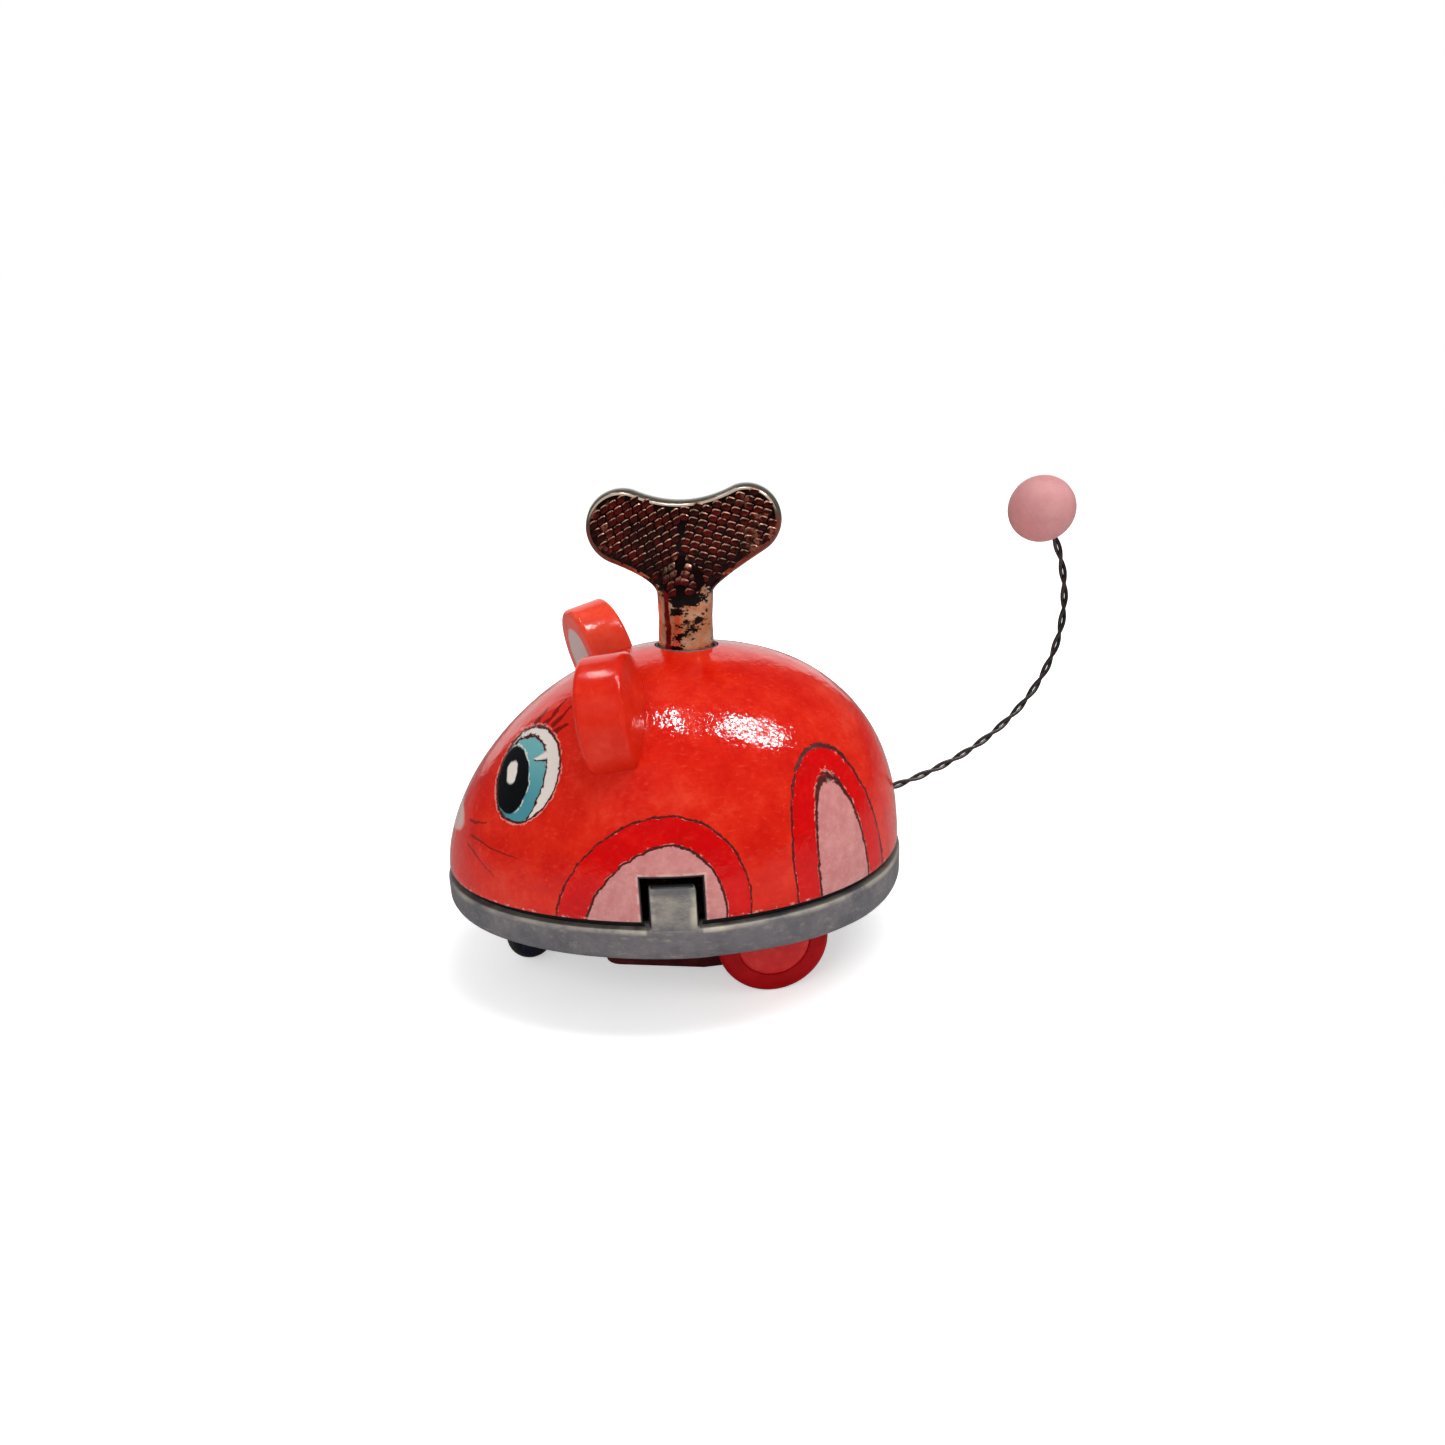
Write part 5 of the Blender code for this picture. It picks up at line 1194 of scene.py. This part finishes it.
tailSizes = dict(reach=0.0400, rise=0.0673, start=math.radians(13.5),
                 end=math.radians(120.7), startPull=0.0465, endPull=0.0282, lead=0.0083,
                 wire=0.00045, offset=0.0005, pitch=0.0125, steps=20, ball=0.0080, hole=0.0062,
                 gap=0.0003, holeGap=0.0003, waviness=0.00005)
tailLook = tones(steel=(92, 86, 84), steelTarnish=(52, 48, 48), ball=(210, 146, 146),
                 ballDeep=(203, 136, 137), ballPale=(216, 157, 156))


def tailMiddle():
    size = tailSizes
    start, end = axesAt(size["start"])[0], axesAt(size["end"])[0]
    root = domePoint(0.0, shellSizes["tailRise"] / bodyForm["domeHeight"])
    root = Vector((root.y, root.z))
    tip = root + Vector((size["reach"], size["rise"]))
    inner = root - start * size["lead"]
    corners = [root, root + start * size["startPull"], tip - end * size["endPull"], tip]
    return ([inner.lerp(root, i / 20) for i in range(20)]
            + [bezierPoint(corners, i / 200) for i in range(201)]), tip, end


def makeStrand(number):
    size = tailSizes
    middle = tailMiddle()[0]
    lengths = [0.0]
    for a, b in zip(middle, middle[1:]):
        lengths.append(lengths[-1] + (b - a).length)
    count = round(size["steps"] * lengths[-1] / size["pitch"])
    bm = bmesh.new()
    centres = []
    for step in range(count + 1):
        along = lengths[-1] * step / count
        i = max(k for k in range(len(middle) - 1) if lengths[k] <= along + 1e-9)
        share = min(1.0, (along - lengths[i]) / (lengths[i + 1] - lengths[i]))
        heading = (middle[i + 1] - middle[i]).normalized()
        spot = middle[i].lerp(middle[i + 1], share)
        normal = Vector((0, -heading.y, heading.x))
        turn = 2 * math.pi * along / size["pitch"] + number * math.pi
        offset = (normal * math.cos(turn) + Vector((1, 0, 0)) * math.sin(turn)) * size["offset"]
        centres.append((Vector((0, *spot)) + offset, normal))
    rings = []
    for i, (spot, normal) in enumerate(centres):
        near, far = centres[max(0, i - 1)][0], centres[min(count, i + 1)][0]
        ahead = (far - near).normalized()
        side = ahead.cross(normal).normalized()
        up = side.cross(ahead)
        rings.append([spot + (side * math.cos(a) + up * math.sin(a)) * size["wire"]
                      for a in roundAngles(12)])
    skinRings(bm, rings)
    return pieceFrom(bm, "tailWire" + str(number), 50)


def makeBall():
    size = tailSizes
    tip, end = tailMiddle()[1:]
    heading = Vector((0, end.x, end.y))
    centre = Vector((0, tip.x, tip.y)) + heading * (size["ball"] - size["hole"] + size["gap"])
    profile = [(0, size["ball"])]
    profile += [(size["ball"] * math.sin(a), size["ball"] * math.cos(a))
                for a in (math.pi * i / 48 for i in range(1, 46))]
    hole = size["offset"] + size["wire"] + size["holeGap"]
    profile += [(hole + 0.0004, -size["ball"] + 0.0001), (hole, 0.0006 - size["ball"]),
                (hole, size["hole"] - size["ball"]), (0, size["hole"] - size["ball"])]
    bm = bmesh.new()
    turnProfile(bm, profile, 96)
    for vert in bm.verts:
        wave = noise.noise(vert.co * 140) * size["waviness"]
        vert.co += vert.co.normalized() * wave if vert.co.length > size["ball"] * 0.9 else Vector()
    ball = pieceFrom(bm, "tailBall", 50)
    ball.matrix_world = Matrix.Translation(centre) @ turnTo(heading)
    return ball


def metalFinish(name, look, key, scale):
    material, shader, point = newMaterial(name)
    worked = place(workedMetal, {"Point": point, "Colour": look[key], "Tarnish": look[key + "Tarnish"],
                                 "Scale": scale})
    wire(shader, baseColor=worked["Colour"], roughness=worked["Roughness"], metallic=1.0,
         normal=bumpFrom(worked["Height"], 0.00003))
    return material


wireFinish = metalFinish("tailWire", tailLook, "steel", scale=900.0)
for number in (0, 1):
    node = "tail_strand_" + str(number + 1)
    finishAs(makeStrand(number), wireFinish, "body", node)
ballFinish = paintedFinish("ballPaint", tailLook, "ball", roughness=0.58, patch=180.0, grain=1500.0,
                           dents=0.00004)
finishAs(makeBall(), ballFinish, "body", "tail_ball")
print("tail made")


# plain metal and housing pieces: the CAD shape with softened edges

softEdges = dict(drive_housing=0.0006, front_fork=0.00025, roller_pin=0.0002, fork_rivet=0.0002)
# painted shade: the housing's red is given dark maroon, for the shade it sits in under the base
innerLook = tones(housing=(84, 8, 18), housingDeep=(52, 2, 10), housingPale=(110, 24, 32),
                  steel=(158, 157, 156), steelTarnish=(104, 100, 98), brass=(196, 152, 84),
                  brassTarnish=(132, 92, 44), blued=(58, 62, 78), bluedTarnish=(40, 40, 48),
                  bush=(104, 94, 88), bushDeep=(70, 62, 60), bushPale=(136, 124, 114))
housingShadedFinish = paintedFinish("housingPaint", innerLook, "housing", roughness=0.42, patch=140.0,
                              grain=900.0, dents=0.00006)
steelFinish, brassFinish, bluedFinish = [
    metalFinish(name, innerLook, key, scale=420.0)
    for name, key in (("bareSteel", "steel"), ("bareBrass", "brass"), ("bluedSteel", "blued"))]
bushFinish = paintedFinish("bushPaint", innerLook, "bush", roughness=0.5, patch=300.0, grain=1400.0,
                           dents=0.00008)
finishAs(makeBush(), bushFinish, "body", "key_bush")


def softenNode(node, width):
    piece = frame["nodes"][node].copy()
    piece.data = frame["nodes"][node].data.copy()
    piece.name = "soft_" + node
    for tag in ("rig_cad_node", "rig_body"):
        if tag in piece:
            del piece[tag]
    piece.parent = None
    scene.collection.objects.link(piece)
    weld = piece.modifiers.new("weld", "WELD")
    weld.merge_threshold = 1e-6
    bevel = piece.modifiers.new("softEdge", "BEVEL")
    bevel.width = width
    bevel.segments = 3
    bevel.limit_method = "ANGLE"
    bevel.angle_limit = math.radians(40)
    return settle(piece, 40)


for node, width in softEdges.items():
    finish = housingShadedFinish if node == "drive_housing" else bluedFinish
    finishAs(softenNode(node, width), finish, "body", node)

brassNodes = ["great_wheel", "crown_wheel", "axle_pinion", "bottom_plate", "top_plate", "click_rivet",
              "tail_ferrule", "axle_bush_left", "axle_bush_right"]
brassNodes += ["pillar_" + str(i) for i in range(1, 5)]
shown = [name for name, obj in frame["nodes"].items() if not obj.hide_render]
for name in shown:
    finish = brassFinish if name in brassNodes else steelFinish
    if name in ("mainspring", "click_spring"):
        finish = bluedFinish
    materials = frame["nodes"][name].data.materials
    materials.clear()
    materials.append(finish)
print("inner works finished")


# floor, light and camera

studio = dict(floorSize=4.0, floor=(0.88, 0.88, 0.88, 1), ambient=0.40, ceiling=0.11,
              sweep=(-0.989, 0.0, 0.148), sweepEdge=(0.81, 0.84), whiteFrom=0.05, whiteTo=0.26,
              whiteNear=0.48, lampAim=(0, 0, 0.05))


def makeFloor():
    bm = bmesh.new()
    bmesh.ops.create_grid(bm, x_segments=8, y_segments=8, size=studio["floorSize"] / 2)
    floor = pieceFrom(bm, "paleFloor")
    material, shader, point = newMaterial("paleFloor")
    cloth = speckle(point, 40.0, 2.0, 0.5)[0]
    tone = blend(ramp(cloth, 0.3, 0.7), studio["floor"], (0.92, 0.92, 0.92, 1))
    path = put("ShaderNodeLightPath").outputs
    tone = blend(path["Is Glossy Ray"], tone, (0.45, 0.45, 0.45, 1))
    wire(shader, baseColor=tone, roughness=0.9, specularIORLevel=0.0)
    away = ramp(vectors("LENGTH", point, output=1), studio["whiteFrom"], studio["whiteTo"],
                studio["whiteNear"], 1.0)
    seen = times(path["Is Camera Ray"], away)
    wire(shader, emissionColor=(1, 1, 1, 1), emissionStrength=seen)
    floor.data.materials.append(material)


def makeWorld():
    world = bpy.data.worlds.new("studio")
    scene.world = world
    world.use_nodes = True
    opened["tree"] = world.node_tree
    world.node_tree.nodes.clear()
    path = put("ShaderNodeLightPath").outputs
    around = put("ShaderNodeTexCoord").outputs["Generated"]
    sweep = ramp(vectors("DOT_PRODUCT", around, studio["sweep"], 1), *studio["sweepEdge"])
    glossy = ramp(sweep, 0.0, 1.0, studio["ceiling"], 1.0)
    seen = plus(path["Is Camera Ray"], path["Is Transmission Ray"], clamp=True)
    shine = times(path["Is Glossy Ray"], glossy)
    rest = minus(1.0, plus(seen, path["Is Glossy Ray"], clamp=True))
    strength = plus(plus(seen, shine), times(rest, studio["ambient"]))
    back = put("ShaderNodeBackground", {"Color": (1, 1, 1, 1), "Strength": strength})
    join(back.outputs[0], put("ShaderNodeOutputWorld").inputs[0])


# each soft box: its use, place, run of its long side, width, length and power
# "gloss" ones only show as reflections, "shade" ones never do
lamps = dict(
    overhead=("shade", (0.13, 0.16, 0.62), (0.28, 0.96, 0.0), 0.14, 0.50, 2.0),
    cameraSide=("shade", (0.50, -0.34, 0.42), (0.0, 0.0, 1.0), 0.34, 0.34, 1.3),
    rearSide=("shade", (0.30, 0.55, 0.30), (0.0, 0.0, 1.0), 0.30, 0.30, 0.45),
    stripRear=("gloss", (0.175, 0.26, 0.60), (0.27, 0.96, 0.0), 0.026, 0.27, 2.6),
    stripFront=("gloss", (0.10, -0.055, 0.60), (0.45, 0.89, 0.0), 0.034, 0.08, 0.95),
    stripEar=("gloss", (-0.10, -0.212, 0.60), (1.0, 0.0, 0.0), 0.022, 0.14, 0.45))


def stand(name, data, spot, across, upright, back):
    added = addObject(name, data)
    turn = Matrix((across, upright, back)).transposed().to_4x4()
    added.matrix_world = Matrix.Translation(spot) @ turn
    return added


def makeLamps():
    for name, (use, spot, run, width, length, power) in lamps.items():
        light = bpy.data.lights.new(name, "AREA")
        light.shape = "RECTANGLE"
        light.size, light.size_y = width, length
        light.energy = power
        back = (Vector(spot) - Vector(studio["lampAim"])).normalized()
        across = Vector(run).cross(back).normalized()
        lamp = stand(name, light, spot, across, back.cross(across), back)
        lamp.visible_glossy = use == "gloss"
        lamp.visible_diffuse = use == "shade"


# the photograph's view: a close camera, a little above and ahead of the left side
shot = dict(elevation=16.443, ahead=8.073, roll=-2.571, distance=0.230, aimY=0.007887,
            aimZ=0.057649, focal=929.568, picture=1445, sensor=36.0)


def makeCamera():
    e, a, r = [math.radians(shot[key]) for key in ("elevation", "ahead", "roll")]
    back = Vector((math.cos(e) * math.cos(a), -math.cos(e) * math.sin(a), math.sin(e)))
    right = Vector((math.sin(a), math.cos(a), 0))
    up = back.cross(right)
    across = math.cos(r) * right + math.sin(r) * up
    upright = -math.sin(r) * right + math.cos(r) * up
    data = bpy.data.cameras.new("photoView")
    data.sensor_width = shot["sensor"]
    data.lens = shot["sensor"] * shot["focal"] / shot["picture"]
    data.clip_start = 0.01
    spot = Vector((0, keyY + shot["aimY"], shot["aimZ"])) + back * shot["distance"]
    scene.camera = stand("photoView", data, spot, across, upright, back)


makeFloor()
makeWorld()
makeLamps()
makeCamera()
scene.view_settings.view_transform = "Standard"
print("studio set")
